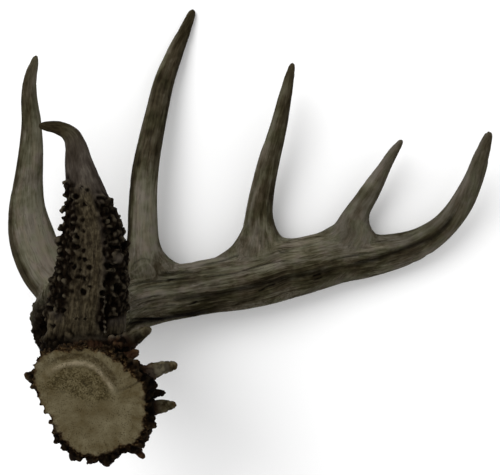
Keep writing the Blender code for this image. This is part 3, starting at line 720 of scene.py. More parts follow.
class Neighbours:
    """The mean of every point's neighbours on a mesh."""

    def __init__(self, obj):
        ends = np.empty(len(obj.data.edges) * 2, int)
        obj.data.edges.foreach_get("vertices", ends)
        self.a, self.b = ends.reshape(-1, 2).T
        self.size = len(obj.data.vertices)
        self.count = np.maximum(np.bincount(ends, minlength=self.size), 1)

    def total(self, column):
        """The sum over each point's neighbours."""
        return np.bincount(self.a, column[self.b], self.size) + np.bincount(self.b, column[self.a], self.size)

    def mean(self, values):
        columns = values if values.ndim == 2 else values[:, None]
        totals = np.column_stack([self.total(column) for column in columns.T])
        return (totals / self.count[:, None]).reshape(values.shape)

    def relaxed(self, points, weight, rounds):
        """Evens the skin out: every point moves towards its neighbours' middle, by its weight."""
        for _ in range(rounds):
            points = points + 0.6 * weight[:, None] * (self.mean(points) - points)
        return points


def web_forks(obj, limbs):
    """Draws the skin into a web between the beam and each tine."""
    points = points_of(obj)
    weight = np.full(len(points), 0.12)
    for name, share in FORKS.items():
        limb = limbs[name]
        away = np.linalg.norm(points - limb.centre[limb.at(share * 0.8)], axis=1)
        weight = np.maximum(weight, smooth_step(1.6 * (1 - away / FORK_RADIUS)))
    move_points(obj, Neighbours(obj).relaxed(points, weight, FORK_ROUNDS))


def set_attribute(obj, name, values):
    kind = "FLOAT_VECTOR" if values.ndim == 2 else "FLOAT"
    layer = obj.data.attributes.new(name, kind, "POINT")
    layer.data.foreach_set("vector" if values.ndim == 2 else "value", values.astype(np.float32).ravel())


def patch_share(places, patch, start_edge=0.03, end_edge=0.06, side_edge=14):
    """How much points belong to a patch of a limb, with soft edges."""
    name, start, end, low, high = patch
    place = places[name]
    middle, half = (low + high) / 2, (high - low) / 2
    off = np.abs((place.angle - middle + 180) % 360 - 180)
    return (
        smooth_step((place.share - start) / start_edge + 0.5)
        * smooth_step((end - place.share) / end_edge + 0.5)
        * smooth_step((half - off) / side_edge + 0.5)
    )


def adds_maths(operation, swapped=False):
    """A method that adds a Math node for a number and another one, or for the two swapped."""

    def method(self, other):
        first, second = (other, self) if swapped else (self, other)
        return self.tree.maths(operation, first, second)

    return method


class Number:
    """A node's number, so that maths on it reads as an expression and adds its Math nodes."""

    def __init__(self, tree, socket):
        self.tree, self.socket = tree, socket

    __add__ = __radd__ = adds_maths("ADD")
    __mul__ = __rmul__ = adds_maths("MULTIPLY")
    __sub__ = adds_maths("SUBTRACT")
    __rsub__ = adds_maths("SUBTRACT", swapped=True)
    most = adds_maths("MAXIMUM")
    least = adds_maths("MINIMUM")

    def rise(self, low, high):
        """0 at low and 1 at high, with a smooth step between."""
        settings = {"interpolation_type": "SMOOTHSTEP"}
        return self.tree.number("ShaderNodeMapRange", settings, {0: self, 1: low, 2: high})


class Tree:
    """A node tree that is written as expressions."""

    def __init__(self, tree):
        self.tree = tree
        self.tree.nodes.clear()

    def node(self, kind, settings, sockets):
        """Adds a node: its settings first, then the values or links of its sockets, by name or place."""
        node = self.tree.nodes.new(kind)
        for name, value in settings.items():
            if name == "stops":
                self.set_stops(node.color_ramp, value)
            else:
                setattr(node, name, value)
        for name, value in sockets.items():
            shown = [s for s in node.inputs if s.enabled]
            socket = shown[name] if isinstance(name, int) else next(s for s in shown if s.name == name)
            if isinstance(value, Number):
                value = value.socket
            if isinstance(value, bpy.types.NodeSocket):
                self.tree.links.new(value, socket)
            else:
                socket.default_value = value
        return node

    def set_stops(self, ramp, stops):
        while len(ramp.elements) < len(stops):
            ramp.elements.new(0.5)
        for element, (position, *colour) in zip(ramp.elements, stops):
            element.position, element.color = position, (*colour, 1)

    def out(self, kind, settings, sockets, name=0):
        """The output socket of a new node."""
        shown = [s for s in self.node(kind, settings, sockets).outputs if s.enabled]
        return shown[name] if isinstance(name, int) else next(s for s in shown if s.name == name)

    def number(self, kind, settings, sockets, name=0):
        return Number(self, self.out(kind, settings, sockets, name))

    def maths(self, operation, first, second):
        return self.number("ShaderNodeMath", {"operation": operation}, {0: first, 1: second})

    def mixed(self, factor, first, second, blend="MIX"):
        """Two colours mixed by the factor."""
        settings = {"data_type": "RGBA", "blend_type": blend, "clamp_factor": True}
        return self.out("ShaderNodeMix", settings, {"Factor": factor, "A": first, "B": second}, "Result")

    def between(self, factor, first, second):
        """Two numbers mixed by the factor."""
        return self.number("ShaderNodeMix", {}, {"Factor": factor, "A": first, "B": second}, "Result")

    def ramp(self, factor, *stops):
        """The colour at the factor, between stops of position, red, green and blue."""
        return self.out("ShaderNodeValToRGB", {"stops": stops}, {"Fac": factor}, "Color")

    def carried(self, name, kind="FLOAT"):
        """What a geometry's points carry under that name, in Geometry Nodes."""
        return self.number("GeometryNodeInputNamedAttribute", {"data_type": kind}, {"Name": name})


def rgb(red, green, blue):
    return (red, green, blue, 1)


class Bone(Tree):
    """The antler's shader: the masks that its skin carries, its grain and its specks."""

    GRAINS = ("beam_grain", "tine_grain", "seal_grain")
    MASKS = (
        "tine", "calm", "cool", "rough", "band", "kicker", "patina", "pearled",
        "hollow", "crest", "tip", "stain", "soot", "base",
        "seal", "rim", "oval", "ledge", "crease", "outer",
    )

    def __init__(self, tree):
        super().__init__(tree)
        for name in self.GRAINS:
            setattr(self, name, self.out("ShaderNodeAttribute", {"attribute_name": name}, {}, "Vector"))
        for name in self.MASKS:
            setattr(self, name, self.number("ShaderNodeAttribute", {"attribute_name": name}, {}, "Fac"))
        self.place = self.out("ShaderNodeTexCoord", {}, {}, "Object")
        self.fine, self.middling = self.streaks(0.7, 9), self.streaks(1.8, 20, 2.0, 0.4)
        broad = self.streaks(6.5, 50, 3.0, 0.8)
        streaky = (0.24 * self.fine + 0.3 * self.middling - 0.27) * (1 - 0.45 * self.calm - 0.2 * self.cool)
        blotchy = 0.34 * (broad - 0.5) + 0.25 * (self.specks(9, 3.0) - 0.5)
        self.tone = streaky + blotchy * (1 - 0.4 * self.cool) + self.patina * 0.14 + 0.5

    def noise(self, vector, sizes, detail=2.0, distortion=0.0):
        """Noise with features of these sizes along the vector."""
        factors = tuple(1 / size for size in sizes)
        vector = self.out("ShaderNodeVectorMath", {"operation": "MULTIPLY"}, {0: vector, 1: factors})
        return self.plain_noise(vector, detail, distortion)

    def plain_noise(self, vector, detail, distortion=0.0):
        """Noise with features one unit apart."""
        sockets = {"Vector": vector, "Scale": 1.0, "Detail": detail, "Roughness": 0.55}
        return self.number("ShaderNodeTexNoise", {}, {**sockets, "Distortion": distortion}, "Fac")

    def streaks(self, wide, long, detail=2.0, distortion=0.0):
        """Noise drawn out along the limbs: features so wide and so long, in millimetres."""
        grains = (self.beam_grain, self.tine_grain)
        own = [self.noise(grain, (wide, wide, long), detail, distortion) for grain in grains]
        return self.between(self.tine, *own)

    def specks(self, size, detail=2.0):
        """Noise of that size in millimetres."""
        return self.noise(self.place, (size * MM,) * 3, detail)


def smooth_bone(bone):
    """The grey brown of the beam and tines, with dark dashes and veins along the grain."""
    skin = bone.ramp(
        bone.tone,
        (0.36, 0.011, 0.0085, 0.004),
        (0.45, 0.034, 0.028, 0.0165),
        (0.53, 0.069, 0.061, 0.0432),
        (0.64, 0.127, 0.112, 0.089),
    )
    dashes = bone.streaks(1.2, 8).rise(0.54, 0.66) * bone.streaks(8, 34).rise(0.42, 0.62)
    skin = bone.mixed(dashes * (0.5 - 0.35 * bone.calm - 0.1 * bone.cool), skin, rgb(0.012, 0.009, 0.004))
    swing = bone.streaks(3.2, 44, 3.0, 1.0) - 0.5
    veins = (swing * swing).rise(0.0007, 0) * bone.streaks(9, 40).rise(0.44, 0.58) * (1 - 0.6 * bone.calm)
    skin = bone.mixed(veins * 0.7, skin, rgb(0.013, 0.010, 0.0045))
    skin = bone.mixed(bone.specks(12).rise(0.42, 0.58), skin, rgb(0.95, 1.01, 0.90), "MULTIPLY")
    skin = bone.mixed(bone.streaks(4, 30).rise(0.46, 0.62) * 0.8, skin, rgb(1.05, 0.985, 0.97), "MULTIPLY")
    return bone.mixed(bone.cool, skin, rgb(0.98, 0.99, 1.04), "MULTIPLY")


def rough_bone(bone, skin):
    """The brow tine and the beam's base over the smooth skin: olive, and crusted black among the pearls."""
    brow = bone.ramp(
        bone.tone,
        (0.36, 0.008, 0.005, 0.003),
        (0.45, 0.024, 0.0185, 0.014),
        (0.54, 0.043, 0.035, 0.028),
        (0.66, 0.088, 0.076, 0.061),
    )
    olive = bone.ramp(
        0.2 * bone.fine
        + 0.25 * bone.middling
        + 0.25 * bone.streaks(1.1, 4, 2.0, 0.8)
        + 0.3 * bone.specks(2.4, 3.0),
        (0.40, 0.008, 0.005, 0.002),
        (0.49, 0.028, 0.0215, 0.011),
        (0.60, 0.068, 0.055, 0.032),
    )
    olive = bone.mixed(bone.base * 0.87, olive, rgb(0.0168, 0.0050, 0.0014))
    crust = bone.ramp(
        0.35 * bone.middling + 0.65 * bone.specks(2.8, 3.0),
        (0.40, 0.0012, 0.0006, 0.0002),
        (0.49, 0.0075, 0.0050, 0.0024),
        (0.60, 0.030, 0.0225, 0.013),
    )
    colour = bone.mixed(bone.rough, skin, bone.mixed(bone.band * 0.85, brow, olive))
    return bone.mixed(bone.pearled * 0.85, colour, crust)


def worn_bone(bone, colour):
    """Paler kickers, rubbed crests with a painted highlight, darker tips, and pale marks, among them painted
    highlights on the tops of beads.
    """
    horn = bone.ramp(
        bone.specks(5, 3.0),
        (0.40, 0.011, 0.0075, 0.003),
        (0.50, 0.036, 0.030, 0.015),
        (0.60, 0.082, 0.071, 0.045),
    )
    colour = bone.mixed(bone.kicker * 0.9, colour, horn)
    # Rubbed crests, lighter: wear and a painted highlight.
    rubbed_and_highlit = bone.crest * 0.7
    colour = bone.mixed(
        rubbed_and_highlit, colour, bone.mixed(bone.base, rgb(0.058, 0.048, 0.031), rgb(0.046, 0.0275, 0.0122))
    )
    tips = bone.ramp(bone.fine, (0.35, 0.012, 0.008, 0.0035), (0.65, 0.038, 0.029, 0.0145))
    colour = bone.mixed(bone.tip * 0.5, colour, tips)
    return bone.mixed((bone.stain * -1).most(0), colour, rgb(0.15, 0.135, 0.105))


def seal_cream(bone, pores):
    """The seal: cream, with darker marrow inside its ridge, a painted highlight along the ridge, dirt and
    painted shade in the crease outside it, and pores.
    """
    patches = bone.specks(6, 3.0).rise(0.44, 0.60)
    rays = bone.between(bone.outer, 0.5, bone.plain_noise(bone.seal_grain, 3.0))
    cream = bone.ramp(
        0.6 * bone.specks(10, 5.0) + 0.4 * rays + 0.02 * bone.outer,
        (0.38, 0.056, 0.042, 0.019),
        (0.50, 0.082, 0.067, 0.0365),
        (0.62, 0.112, 0.095, 0.056),
    )
    marrow = bone.ramp(
        0.6 * bone.specks(1.0, 3.0) + 0.4 * bone.specks(3.5),
        (0.38, 0.010, 0.007, 0.002),
        (0.48, 0.042, 0.032, 0.013),
        (0.60, 0.096, 0.079, 0.042),
    )
    cream = bone.mixed(bone.oval * 0.8, cream, marrow)
    # Dirt and painted shade in the crease outside the ridge.
    crease_dirt_and_shade = bone.crease * (0.2 + 0.5 * bone.specks(2.6, 3.0).rise(0.42, 0.56))
    cream = bone.mixed(crease_dirt_and_shade, cream, rgb(0.030, 0.021, 0.009))
    # Painted highlight along the ridge's top.
    highlit_ridge = bone.ledge * (0.35 + 0.5 * bone.specks(3).rise(0.40, 0.56))
    cream = bone.mixed(highlit_ridge, cream, rgb(0.175, 0.146, 0.096))
    pitted = (pores * (0.4 + 0.4 * patches + 0.3 * bone.oval + 0.5 * bone.crease)).least(0.9)
    return bone.mixed(pitted, cream, rgb(0.020, 0.014, 0.006))


def antler_bone():
    """Weathered antler: grain along the limbs, dirt and painted shade in the hollows, polish and a painted
    highlight on the raised places.
    """
    material = bpy.data.materials.new("antler_bone")
    material.use_nodes = True
    bone = Bone(material.node_tree)
    colour = worn_bone(bone, rough_bone(bone, smooth_bone(bone)))
    # Dirt and painted shade: near black in the hollows and gaps and under the dark stains, which are partly
    # painted shade.
    dirt_and_shade = bone.ramp(bone.specks(2.2), (0.35, 0.0003, 0.0002, 0.0001), (0.65, 0.0032, 0.0018, 0.0009))
    dark = (bone.stain.most(0) * (1 - 0.7 * bone.crest) + bone.hollow * 0.97).least(1)
    # Blackening: painted shade on the burr's right and lower flank, and darker patches on the brow tine and
    # beam's base.
    blackening = bone.soot * (0.85 + 0.15 * bone.specks(4).rise(0.62, 0.44)) * (1 - 0.1 * bone.crest)
    colour = bone.mixed(dark, colour, dirt_and_shade)

    pores = bone.specks(0.7, 4.0).rise(0.53, 0.64)
    cream = bone.mixed(dark, seal_cream(bone, pores), dirt_and_shade)
    colour = bone.mixed(bone.seal, colour, cream)
    rust = bone.ramp(
        bone.specks(1.5, 3.0),
        (0.38, 0.003, 0.001, 0.0004),
        (0.50, 0.022, 0.011, 0.0038),
        (0.62, 0.095, 0.062, 0.028),
    )
    colour = bone.mixed(bone.rim * bone.specks(2.6).rise(0.34, 0.54), colour, rust)

    grooves = bone.fine * 0.4 + bone.middling * (1 - 0.6 * bone.tine) + bone.specks(1.3) * bone.rough
    relief = grooves * (1 - (bone.seal + bone.kicker).least(1))
    relief = relief + (bone.specks(0.9, 3.0) * 0.5 - pores * (0.2 + 0.6 * bone.oval)) * bone.seal
    black = bone.ramp(bone.specks(2.2), (0.35, 0.0002, 0.0001, 0.0001), (0.65, 0.0022, 0.0014, 0.0007))
    colour = bone.mixed(blackening, colour, black)
    normal = bone.out("ShaderNodeBump", {}, {"Strength": 0.45, "Distance": 0.25 * MM, "Height": relief})
    matt = (bone.seal + bone.pearled).least(1)
    roughness = bone.between(matt, 0.5 + 0.2 * bone.middling - bone.crest * 0.1, 0.85) + bone.hollow * 0.2
    sockets = {"Base Color": colour, "Roughness": roughness, "Normal": normal, "Specular IOR Level": 0.012}
    shader = bone.out("ShaderNodeBsdfPrincipled", {}, sockets)
    bone.node("ShaderNodeOutputMaterial", {}, {"Surface": shader})
    return material


def bead_group(name, **inputs):
    """A group of geometry nodes for a mesh and the inputs of these kinds, its tree and what it is given."""
    group = bpy.data.node_groups.new(name, "GeometryNodeTree")
    group.interface.new_socket("Geometry", in_out="OUTPUT", socket_type="NodeSocketGeometry")
    for label, kind in {"Geometry": "Geometry", **inputs}.items():
        group.interface.new_socket(label, in_out="INPUT", socket_type="NodeSocket" + kind)
    tree = Tree(group)
    return group, tree, tree.node("NodeGroupInput", {}, {}).outputs


def finish_beads(tree, points, rotation, radius, length, material):
    """Ico spheres on the points, each pushed a little out of shape, as one mesh."""
    size = tree.out("ShaderNodeCombineXYZ", {}, {"X": radius, "Y": radius, "Z": radius * length})
    ball = tree.out("GeometryNodeMeshIcoSphere", {}, {"Radius": 1.0, "Subdivisions": 2})
    sockets = {"Points": points, "Instance": ball, "Rotation": rotation, "Scale": size}
    stood = tree.out("GeometryNodeInstanceOnPoints", {}, sockets)
    real = tree.out("GeometryNodeRealizeInstances", {}, {"Geometry": stood})
    wave = tree.out("ShaderNodeTexNoise", {}, {"Scale": 300.0, "Detail": 0.0}, "Color")
    off = tree.out("ShaderNodeVectorMath", {"operation": "SUBTRACT"}, {0: wave, 1: (0.5, 0.5, 0.5)})
    push = tree.out("ShaderNodeVectorMath", {"operation": "SCALE"}, {"Vector": off, "Scale": 1.8 * MM})
    bent = tree.out("GeometryNodeSetPosition", {}, {"Geometry": real, "Offset": push})
    painted = tree.out("GeometryNodeSetMaterial", {}, {"Geometry": bent, "Material": material})
    tree.node("NodeGroupOutput", {}, {"Geometry": painted})


def scattered_pearls(material):
    """Geometry nodes that crowd pearls on a skin, where its pearl_amount says."""
    inputs = {"spacing": "Float", "smallest": "Float", "largest": "Float", "seed": "Int"}
    group, tree, given = bead_group("scattered_pearls", **inputs)
    amount = tree.carried("pearl_amount")
    scatter = tree.node(
        "GeometryNodeDistributePointsOnFaces",
        {"distribute_method": "POISSON"},
        {
            "Mesh": given["Geometry"],
            "Distance Min": given["spacing"],
            "Density Max": 300_000.0,
            "Density Factor": amount,
            "Seed": given["seed"],
        },
    )
    sizes = {"Min": given["smallest"], "Max": given["largest"], "Seed": given["seed"]}
    radius = tree.number("FunctionNodeRandomValue", {"data_type": "FLOAT"}, sizes)
    finish_beads(tree, scatter.outputs["Points"], scatter.outputs["Rotation"], radius, PEARL_LENGTH, material)
    return group


def marked_beads(material):
    """Geometry nodes that stand a bead on every point of a mesh, by its outward, radius and length."""
    group, tree, given = bead_group("marked_beads")
    radius, length = tree.carried("radius"), tree.carried("length")
    outward = tree.carried("outward", "FLOAT_VECTOR")
    turn = tree.out("FunctionNodeAlignRotationToVector", {"axis": "Z"}, {"Vector": outward})
    finish_beads(tree, given["Geometry"], turn, radius, length, material)
    return group


def with_nodes(obj, group, **values):
    """The object's mesh after the geometry nodes, with their inputs set."""
    nodes = obj.modifiers.new(group.name, "NODES")
    nodes.node_group = group
    for item in group.interface.items_tree:
        if item.in_out == "INPUT" and item.name in values:
            nodes[item.identifier] = values[item.name]
    return evaluated(obj)


def standing(name, beads, group):
    """A mesh of beads from rows of place, outward direction, radius and length."""
    bm = bmesh.new()
    for place, *_ in beads:
        bm.verts.new(Vector(place) * MM)
    obj = mesh_object(name, bm)
    _, outward, radius, length = zip(*beads)
    set_attribute(obj, "outward", np.array(outward, float))
    set_attribute(obj, "radius", np.array(radius) * MM)
    set_attribute(obj, "length", np.array(length, float))
    return with_nodes(obj, group)


def pearl_amount(places, patches):
    """How much points lie in patches of pearls, on the limb's own skin."""
    amounts = [patch_share(places, patch) * short_of(places[patch[0]].outside, 6, 4) for patch in patches]
    return np.max(amounts, axis=0)


def pearls_on(skin, limbs, group):
    """Meshes of the pearls that crowd the skin."""
    points = points_of(skin)
    places = {name: limbs[name].place(points) for name in ("main_beam", "brow_tine")}
    found = []
    for spacing, smallest, largest, seed, patches in PEARL_FIELDS:
        bed = linked(skin.copy())
        bed.data = skin.data.copy()
        set_attribute(bed, "pearl_amount", pearl_amount(places, patches))
        with_nodes(bed, group, spacing=spacing * MM, smallest=smallest * MM, largest=largest * MM, seed=seed)
        found.append(bed)
    return found


def line_marks(points, rows):
    """What long marks take off the skin and how much they stain it, some of that stain being painted shade.
    """
    depth, stain = np.zeros(len(points)), np.zeros(len(points))
    points = points * (1, 1, MARK_SQUASH)
    for half, deep, dark, stations in rows:
        line = curve_through(stations, 0.5)[:, :3] * (1, 1, MARK_SQUASH)
        close = ((points > line.min(0) - half) & (points < line.max(0) + half)).all(1)
        index, away = nearest_rows(line, points[close])
        share = index / (len(line) - 1)
        shape = (1 - smooth_step(away / half)) * smooth_step(share / 0.15) * short_of(share, 1, 0.15)
        depth[close] += deep * shape
        stain[close] += dark * shape
    return depth, stain


def hollow_marks(points):
    """What the hollows take off the skin and how dark they are, a painted shade inside them."""
    depth, stain = np.zeros(len(points)), np.zeros(len(points))
    points = points + 1.8 * np.column_stack([noise(points / 2.3, k) - 0.5 for k in (31, 32, 33)])
    for x, y, z, wide, high, deep in HOLLOWS:
        size = 1.15 * np.array([wide, high, max(8, 3 * high)])
        away = np.linalg.norm((points - (x, y, z)) / size, axis=1)
        shape = 1 - past(away, 0.45, 0.75)
        depth += deep * shape - 0.55 * smooth_step(1 - np.abs(away - 1.25) / 0.4)
        stain += shape
    return depth, np.minimum(stain, 1)


def tine_shares(places):
    """How much points belong to a tine rather than the beam, that tine's grain, their share of its
    length, and its number."""
    outside = np.array([places[name].outside for name in TINES])
    nearest = outside.argmin(0)
    share = smooth_step(0.5 + (places["main_beam"].outside - outside.min(0)) / 7)
    grain = np.zeros((len(nearest), 3))
    along = np.zeros(len(nearest))
    for k, name in enumerate(TINES):
        mine = nearest == k
        grain[mine] = places[name].grain[mine] + 100 * (k + 1)
        along[mine] = places[name].share[mine]
    return share, grain, along, nearest


def grain_relief(beam, own, tine):
    """Fine grooves along the limbs, deepest on the beam and faint on the tines."""
    total = 0
    for grain, share, depth in ((beam, 1 - tine, 0.75), (own, tine, 0.28)):
        long = noise(grain / (4.5, 4.5, 48), 1) - 0.5
        thin = 1 - np.abs(2 * noise(grain / (2.4, 2.4, 30), 2) - 1)
        total = total + share * depth * (long * 1.1 - 0.8 * past(thin, 0.72, 0.28))
    return total


def pearl_relief(points, amount):
    """Small nubs and holes between the pearls: how far they stand out, and the painted shade that darkens the
    gaps and holes.
    """
    some = amount > 0.02
    out, gap_shade = np.zeros(len(points)), np.zeros(len(points))
    warp = np.column_stack([noise(points[some] / 3.1, k) for k in (11, 12, 13)]) - 0.5
    away, own = scattered(points[some] / PEARL_CELL + 0.7 * warp, 21)
    nub = smooth_step(1.15 - away / 0.52) * (own > 0.38)
    hole = smooth_step(1.2 - away / 0.5) * (own < 0.27)
    out[some] = amount[some] * (1.2 * nub - 2.0 * hole)
    gap_shade[some] = amount[some] * np.clip(hole * 1.4 + 0.9 * past(away, 0.42, 0.2), 0, 1)
    return out, gap_shade


def build_antler(material):
    """The beam, tines, burr, beads, pearls and kickers as one skin, and the limbs that it follows."""
    limbs = {name: Limb(*facts) for name, facts in LIMBS.items()}
    bm = bmesh.new()
    for limb in limbs.values():
        loft(bm, limb.rings())
    skin = fused(mesh_object("skin", bm), FUSE_VOXEL)
    web_forks(skin, limbs)

    marked = marked_beads(material)
    pearls = pearls_on(skin, limbs, scattered_pearls(material))
    beads = list(coronet_beads())
    points, normals = points_of(skin), read_vectors(skin, "normal")
    for x, y, z, radius in EDGE_BEADS + BEAD_ROW:
        index, _ = nearest_rows(points, np.array([(x, y, z)], float))
        beads.append(((x, y, z), normals[index[0]], radius, BEAD_LENGTH))
    pearls.append(standing("beads", beads, marked))

    bm = bmesh.new()
    for obj in (skin, *pearls):
        bm.from_mesh(obj.data)
        bpy.data.objects.remove(obj)
    add_burr(bm)
    for kicker in KICKERS:
        loft(bm, Limb(kicker, "Z", KICKER_SPACING).rings())
    antler = fused(mesh_object("antler", bm), FINISH_VOXEL)
    return antler, limbs


def face_seal(points):
    """The points with those on the seal set exactly on its height."""
    angle, radius, height, wanted = seal_place(points)
    inside = round_outline(SEAL_RADII, angle) - radius
    on_face = (inside > -0.4) & (np.abs(height - wanted) < 0.9)
    points = points.copy()
    points[on_face] += np.outer((wanted - height)[on_face], SEAL_NORMAL)
    return points


def kicker_share(points):
    """How much points belong to the three long smooth points at the side of the burr."""
    share = np.zeros(len(points))
    for rows in KICKERS[:LONG_KICKERS]:
        kicker = Limb(rows, "Z", KICKER_SPACING).place(points)
        share = np.maximum(share, short_of(kicker.outside, 5, 2) * past(kicker.share, 0.55, 0.25))
    return share


class SealView:
    """Where points lie from the seal and its ridge, how much they belong to its face, and its looks."""

    def __init__(self, points):
        self.angle, self.radius, self.height, wanted = seal_place(points)
        self.degrees = np.degrees(self.angle)
        self.inside = round_outline(SEAL_RADII, self.angle) - self.radius
        rim = self.turned(11, self.radius * 0)
        ragged = 3.4 * (noise(rim, 51) - 0.55)
        self.edge = self.inside + ragged + 1.2 * (noise(rim * 2.3, 52) - 0.5)
        self.face = smooth_step(self.edge) * smooth_step((self.height - wanted + 1.6) / 0.8)
        self.ridge, self.fade, self.drawn = seal_ridge(self.angle)
        self.out_of_ridge = self.radius - self.ridge

    def turned(self, size, outward):
        """Places for a noise that runs round the seal, and outwards as it says."""
        return np.column_stack([np.cos(self.angle) * size, np.sin(self.angle) * size, outward])

    def relief(self):
        """The low ridge, and the shallow crease outside it."""
        ridge = 0.6 * smooth_step(1 - np.abs(self.out_of_ridge + 0.8) / 1.7)
        return self.face * self.drawn * (ridge - 0.7 * smooth_step(1 - np.abs(self.out_of_ridge - 3) / 2))

    def flank(self):
        """The side of the burr, below the face."""
        beside = smooth_step((6 - np.abs(self.inside + 2)) / 5 + 0.4)
        return beside * (1 - self.face) * past(self.height, -16, 6)

    def soot(self):
        """How black the burr's flank is painted, as painted shade: most of all on its right side, and more on
        its lower side.
        """
        right_side, low_side = near_to(self.degrees, 8, 36, 18), near_to(self.degrees, -95, 65, 35)
        black = right_side * smooth_step((16 + self.inside) / 4) * short_of(self.edge, 1, 1.6)
        return np.maximum(black * past(self.height, -22, 6), (0.45 + 0.35 * low_side) * self.flank())

    def looks(self):
        """The cream face, its rusty rim, the oval inside its ridge, the painted highlight along the ridge,
        and the crease outside it.
        """
        step = self.face * self.drawn
        return {
            "seal_grain": self.turned(9, self.radius / 9),
            "seal": self.face,
            "rim": near_to(self.edge, -0.4, 2.0, 1.7) * past(self.height, -8, 3),
            "outer": smooth_step((self.radius - 0.55 * (self.radius + self.inside)) / 10) * self.face,
            "oval": smooth_step((self.ridge * 0.94 - self.radius) / 3) * self.fade * self.face,
            "ledge": smooth_step(1.5 - np.abs(self.out_of_ridge + 0.6) / 1.2) * step,
            "crease": smooth_step(1.6 - np.abs(self.out_of_ridge - 3.2) / 1.7) * step,
        }


class Skin:
    """The antler's skin: what is known of its points, its relief, and what its material reads."""

    def __init__(self, antler, limbs):
        self.antler, self.limbs, self.near = antler, limbs, Neighbours(antler)
        self.every = np.ones(len(antler.data.vertices))
        self.points = face_seal(self.near.relaxed(points_of(antler), 0.35 * self.every, 2))
        move_points(antler, self.points)
        self.places = {name: limb.place(self.points) for name, limb in limbs.items()}
        self.beam, self.brow = self.places["main_beam"], self.places["brow_tine"]
        self.tine, self.own_grain, self.along, self.nearest = tine_shares(self.places)
        self.kicker = kicker_share(self.points)
        self.seal = SealView(self.points)
        self.bare = 1 - self.seal.face

    def press(self):
        """Presses the grain, the marks, the holes between the pearls and the seal's ridge into the skin."""
        line_depth, self.stain = line_marks(self.points, BEAM_LINES + TINE_LINES)
        # Painted highlights on the tops of the row's beads, as pale stain.
        for x, y, z, size in BEAD_ROW:
            away = np.linalg.norm(self.points - (x, y, z + size), axis=1)
            self.stain -= 0.8 * smooth_step(1.4 - away / size)
        pit_depth, self.pit_shade = hollow_marks(self.points)
        crowded, sparse = (pearl_amount(self.places, p) for p in (CROWDED_PATCHES, (BROW_MIDDLE,)))
        self.pearls = np.maximum(crowded, 0.45 * sparse)
        nubs, self.gap_shade = pearl_relief(self.points, self.pearls * (1 - self.kicker) * self.bare)
        out = grain_relief(self.beam.grain, self.own_grain, self.tine) * self.bare
        out = out + nubs - line_depth - pit_depth
        out += self.seal.relief()
        out += self.seal.face * 0.3 * (noise(self.points / 1.3, 7) - 0.5)
        moved = self.points + read_vectors(self.antler, "normal") * out[:, None]
        self.points = self.near.relaxed(moved, 0.5 * self.pearls, 2)
        low, high = self.points[:, :2].min(axis=0), self.points[:, :2].max(axis=0)
        self.points[:, :2] -= (low + high) / 2
        self.points[:, 2] = np.maximum(self.points[:, 2], 0)
        move_points(self.antler, self.points)

    def raised(self, rounds):
        """How far each point stands out from the skin evened out so many times."""
        off = self.points - self.near.relaxed(self.points, self.every, rounds)
        return self.near.mean(self.near.mean((off * read_vectors(self.antler, "normal")).sum(1)))

    def limb_looks(self):
        """The grain, the calm and the cool stretches, the patina with its painted shade, and the tips."""
        on_tine = self.tine > 0.5
        limb = np.where(on_tine, np.array(TINES)[self.nearest], "main_beam")
        patina = sum(
            patch_share(self.places, (name, *patch), *PATINA_AND_SHADE_EDGES) * paler * (limb == name)
            for name, rows in PATINA_AND_SHADE.items()
            for *patch, paler in rows
        )
        far_end = past(self.beam.share, 0.68, 0.16)
        share = np.where(on_tine, self.along, self.beam.share)
        lengths = np.array([self.limbs[name].length for name in TINES])
        length = np.where(on_tine, lengths[self.nearest], self.limbs["main_beam"].length)
        fifth = self.nearest == TINES.index("fifth_tine")
        return {
            "beam_grain": self.beam.grain,
            "tine_grain": self.own_grain,
            "tine": self.tine,
            "calm": np.maximum(self.tine, far_end),
            "cool": np.maximum(far_end * (1 - self.tine), self.tine * fifth),
            "patina": self.near.relaxed(patina[:, None], self.every, 6)[:, 0],
            "tip": smooth_step(1 - (1 - share) * length / 42),
            "stain": np.clip(self.stain, -1, 1),
        }

    def crust_looks(self):
        """The rough brow tine and beam's base: their pearls, blackening with painted shade on the burr's
        flank, dirt and painted shade in the hollows, and rubbed crests with a painted highlight.
        """
        fine, broad = self.raised(5), self.raised(60)
        smooth = 1 - self.kicker
        base = short_of(self.beam.share, 0.2, 0.05) * (1 - self.tine)
        on_brow = self.nearest == TINES.index("brow_tine")
        rough = np.maximum(base, on_brow * self.tine * short_of(self.along, 0.94, 0.1))
        crowded = pearl_amount(self.places, (BROW_LEFT, BROW_FOOT))
        # Painted shade in the dips and hollows of the skin.
        dips = smooth_step((0.05 + 0.05 * crowded - fine) / 0.14)
        cavity_shade = np.maximum(dips, smooth_step((0.3 * crowded - broad - 0.05) / 0.6))
        cavity_shade = cavity_shade * (0.25 + 0.75 * rough) * (1 - 0.6 * self.kicker) * self.bare
        front = np.maximum(near_to(self.brow.angle, 88, 34, 14), short_of(self.brow.share, 0.16, 0.06))
        soot = [black * pearl_amount(self.places, (patch,)) for black, patch in BLACKENED_PATCHES]
        return {
            "rough": rough,
            "band": front * rough * short_of(self.brow.share, 0.72, 0.1),
            "pearled": np.maximum(self.pearls, self.seal.flank()) * smooth * self.bare,
            "kicker": self.kicker * self.bare,
            "hollow": np.clip(np.maximum(np.maximum(cavity_shade, self.pit_shade), self.gap_shade), 0, 1),
            # Raised places: wear and a painted highlight.
            "crest": past(fine, 0.06, 0.25) * rough * self.bare,
            "soot": np.max([self.seal.soot(), *soot], axis=0) * smooth,
            "base": base,
        }


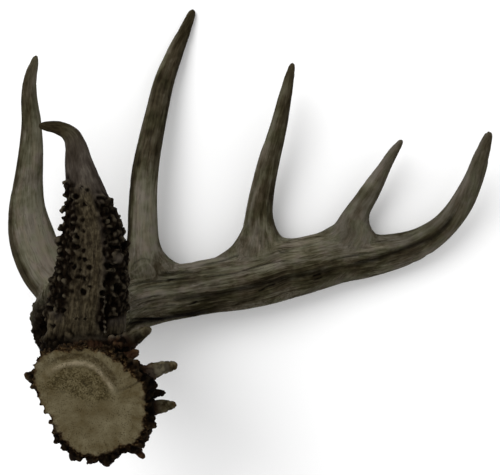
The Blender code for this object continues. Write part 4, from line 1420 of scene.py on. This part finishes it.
def finish_antler(antler, limbs):
    """Presses the seal, the grooves and the hollows into the skin, and writes what its material reads."""
    skin = Skin(antler, limbs)
    skin.press()
    for name, values in {**skin.limb_looks(), **skin.crust_looks(), **skin.seal.looks()}.items():
        set_attribute(antler, name, values)


def thinned(obj):
    """The object's mesh brought down to the number of triangles that a piece may have."""
    thin = obj.modifiers.new("thin", "DECIMATE")
    thin.ratio = TRIANGLES / (2 * len(obj.data.polygons))
    return evaluated(obj)


def look_on():
    """The camera looks straight down on the antler from above its middle."""
    data = bpy.data.cameras.new("camera")
    data.lens, data.sensor_width = LENS, SENSOR
    data.clip_start, data.clip_end = 0.01, 20
    camera = linked(bpy.data.objects.new("camera", data))
    camera.location = [place * MM for place in CAMERA_PLACE]
    bpy.context.scene.camera = camera


def stage_floor():
    """A plain pale sheet to lie on."""
    bm = bmesh.new()
    bmesh.ops.create_circle(bm, cap_ends=True, radius=FLOOR_RADIUS, segments=96)
    floor = mesh_object("floor", bm)
    material = bpy.data.materials.new("pale_floor")
    material.use_nodes = True
    shader = material.node_tree.nodes["Principled BSDF"]
    shader.inputs["Base Color"].default_value = rgb(FLOOR_GREY, FLOOR_GREY, FLOOR_GREY)
    shader.inputs["Roughness"].default_value = 0.9
    floor.data.materials.append(material)


def light_studio():
    """A pale sky and one soft light."""
    scene = bpy.context.scene
    scene.view_settings.view_transform = "Standard"
    scene.world = bpy.data.worlds.new("studio")
    scene.world.use_nodes = True
    background = scene.world.node_tree.nodes["Background"]
    background.inputs["Color"].default_value = rgb(1, 1, 1)
    background.inputs["Strength"].default_value = SKY_STRENGTH
    data = bpy.data.lights.new("key", "AREA")
    data.shape, data.size, data.energy = "DISK", KEY_SIZE, KEY_WATTS
    light = linked(bpy.data.objects.new("key", data))
    light.location = KEY_PLACE
    light.rotation_euler = (Vector(KEY_AIM) - Vector(KEY_PLACE)).to_track_quat("-Z", "Y").to_euler()


bone = antler_bone()
antler, limbs = build_antler(bone)
finish_antler(antler, limbs)
thinned(antler)
antler.data.materials.clear()
antler.data.materials.append(bone)
antler.data.shade_smooth()
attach(antler, "root")
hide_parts(*LIMBS)

stage_floor()
light_studio()
look_on()
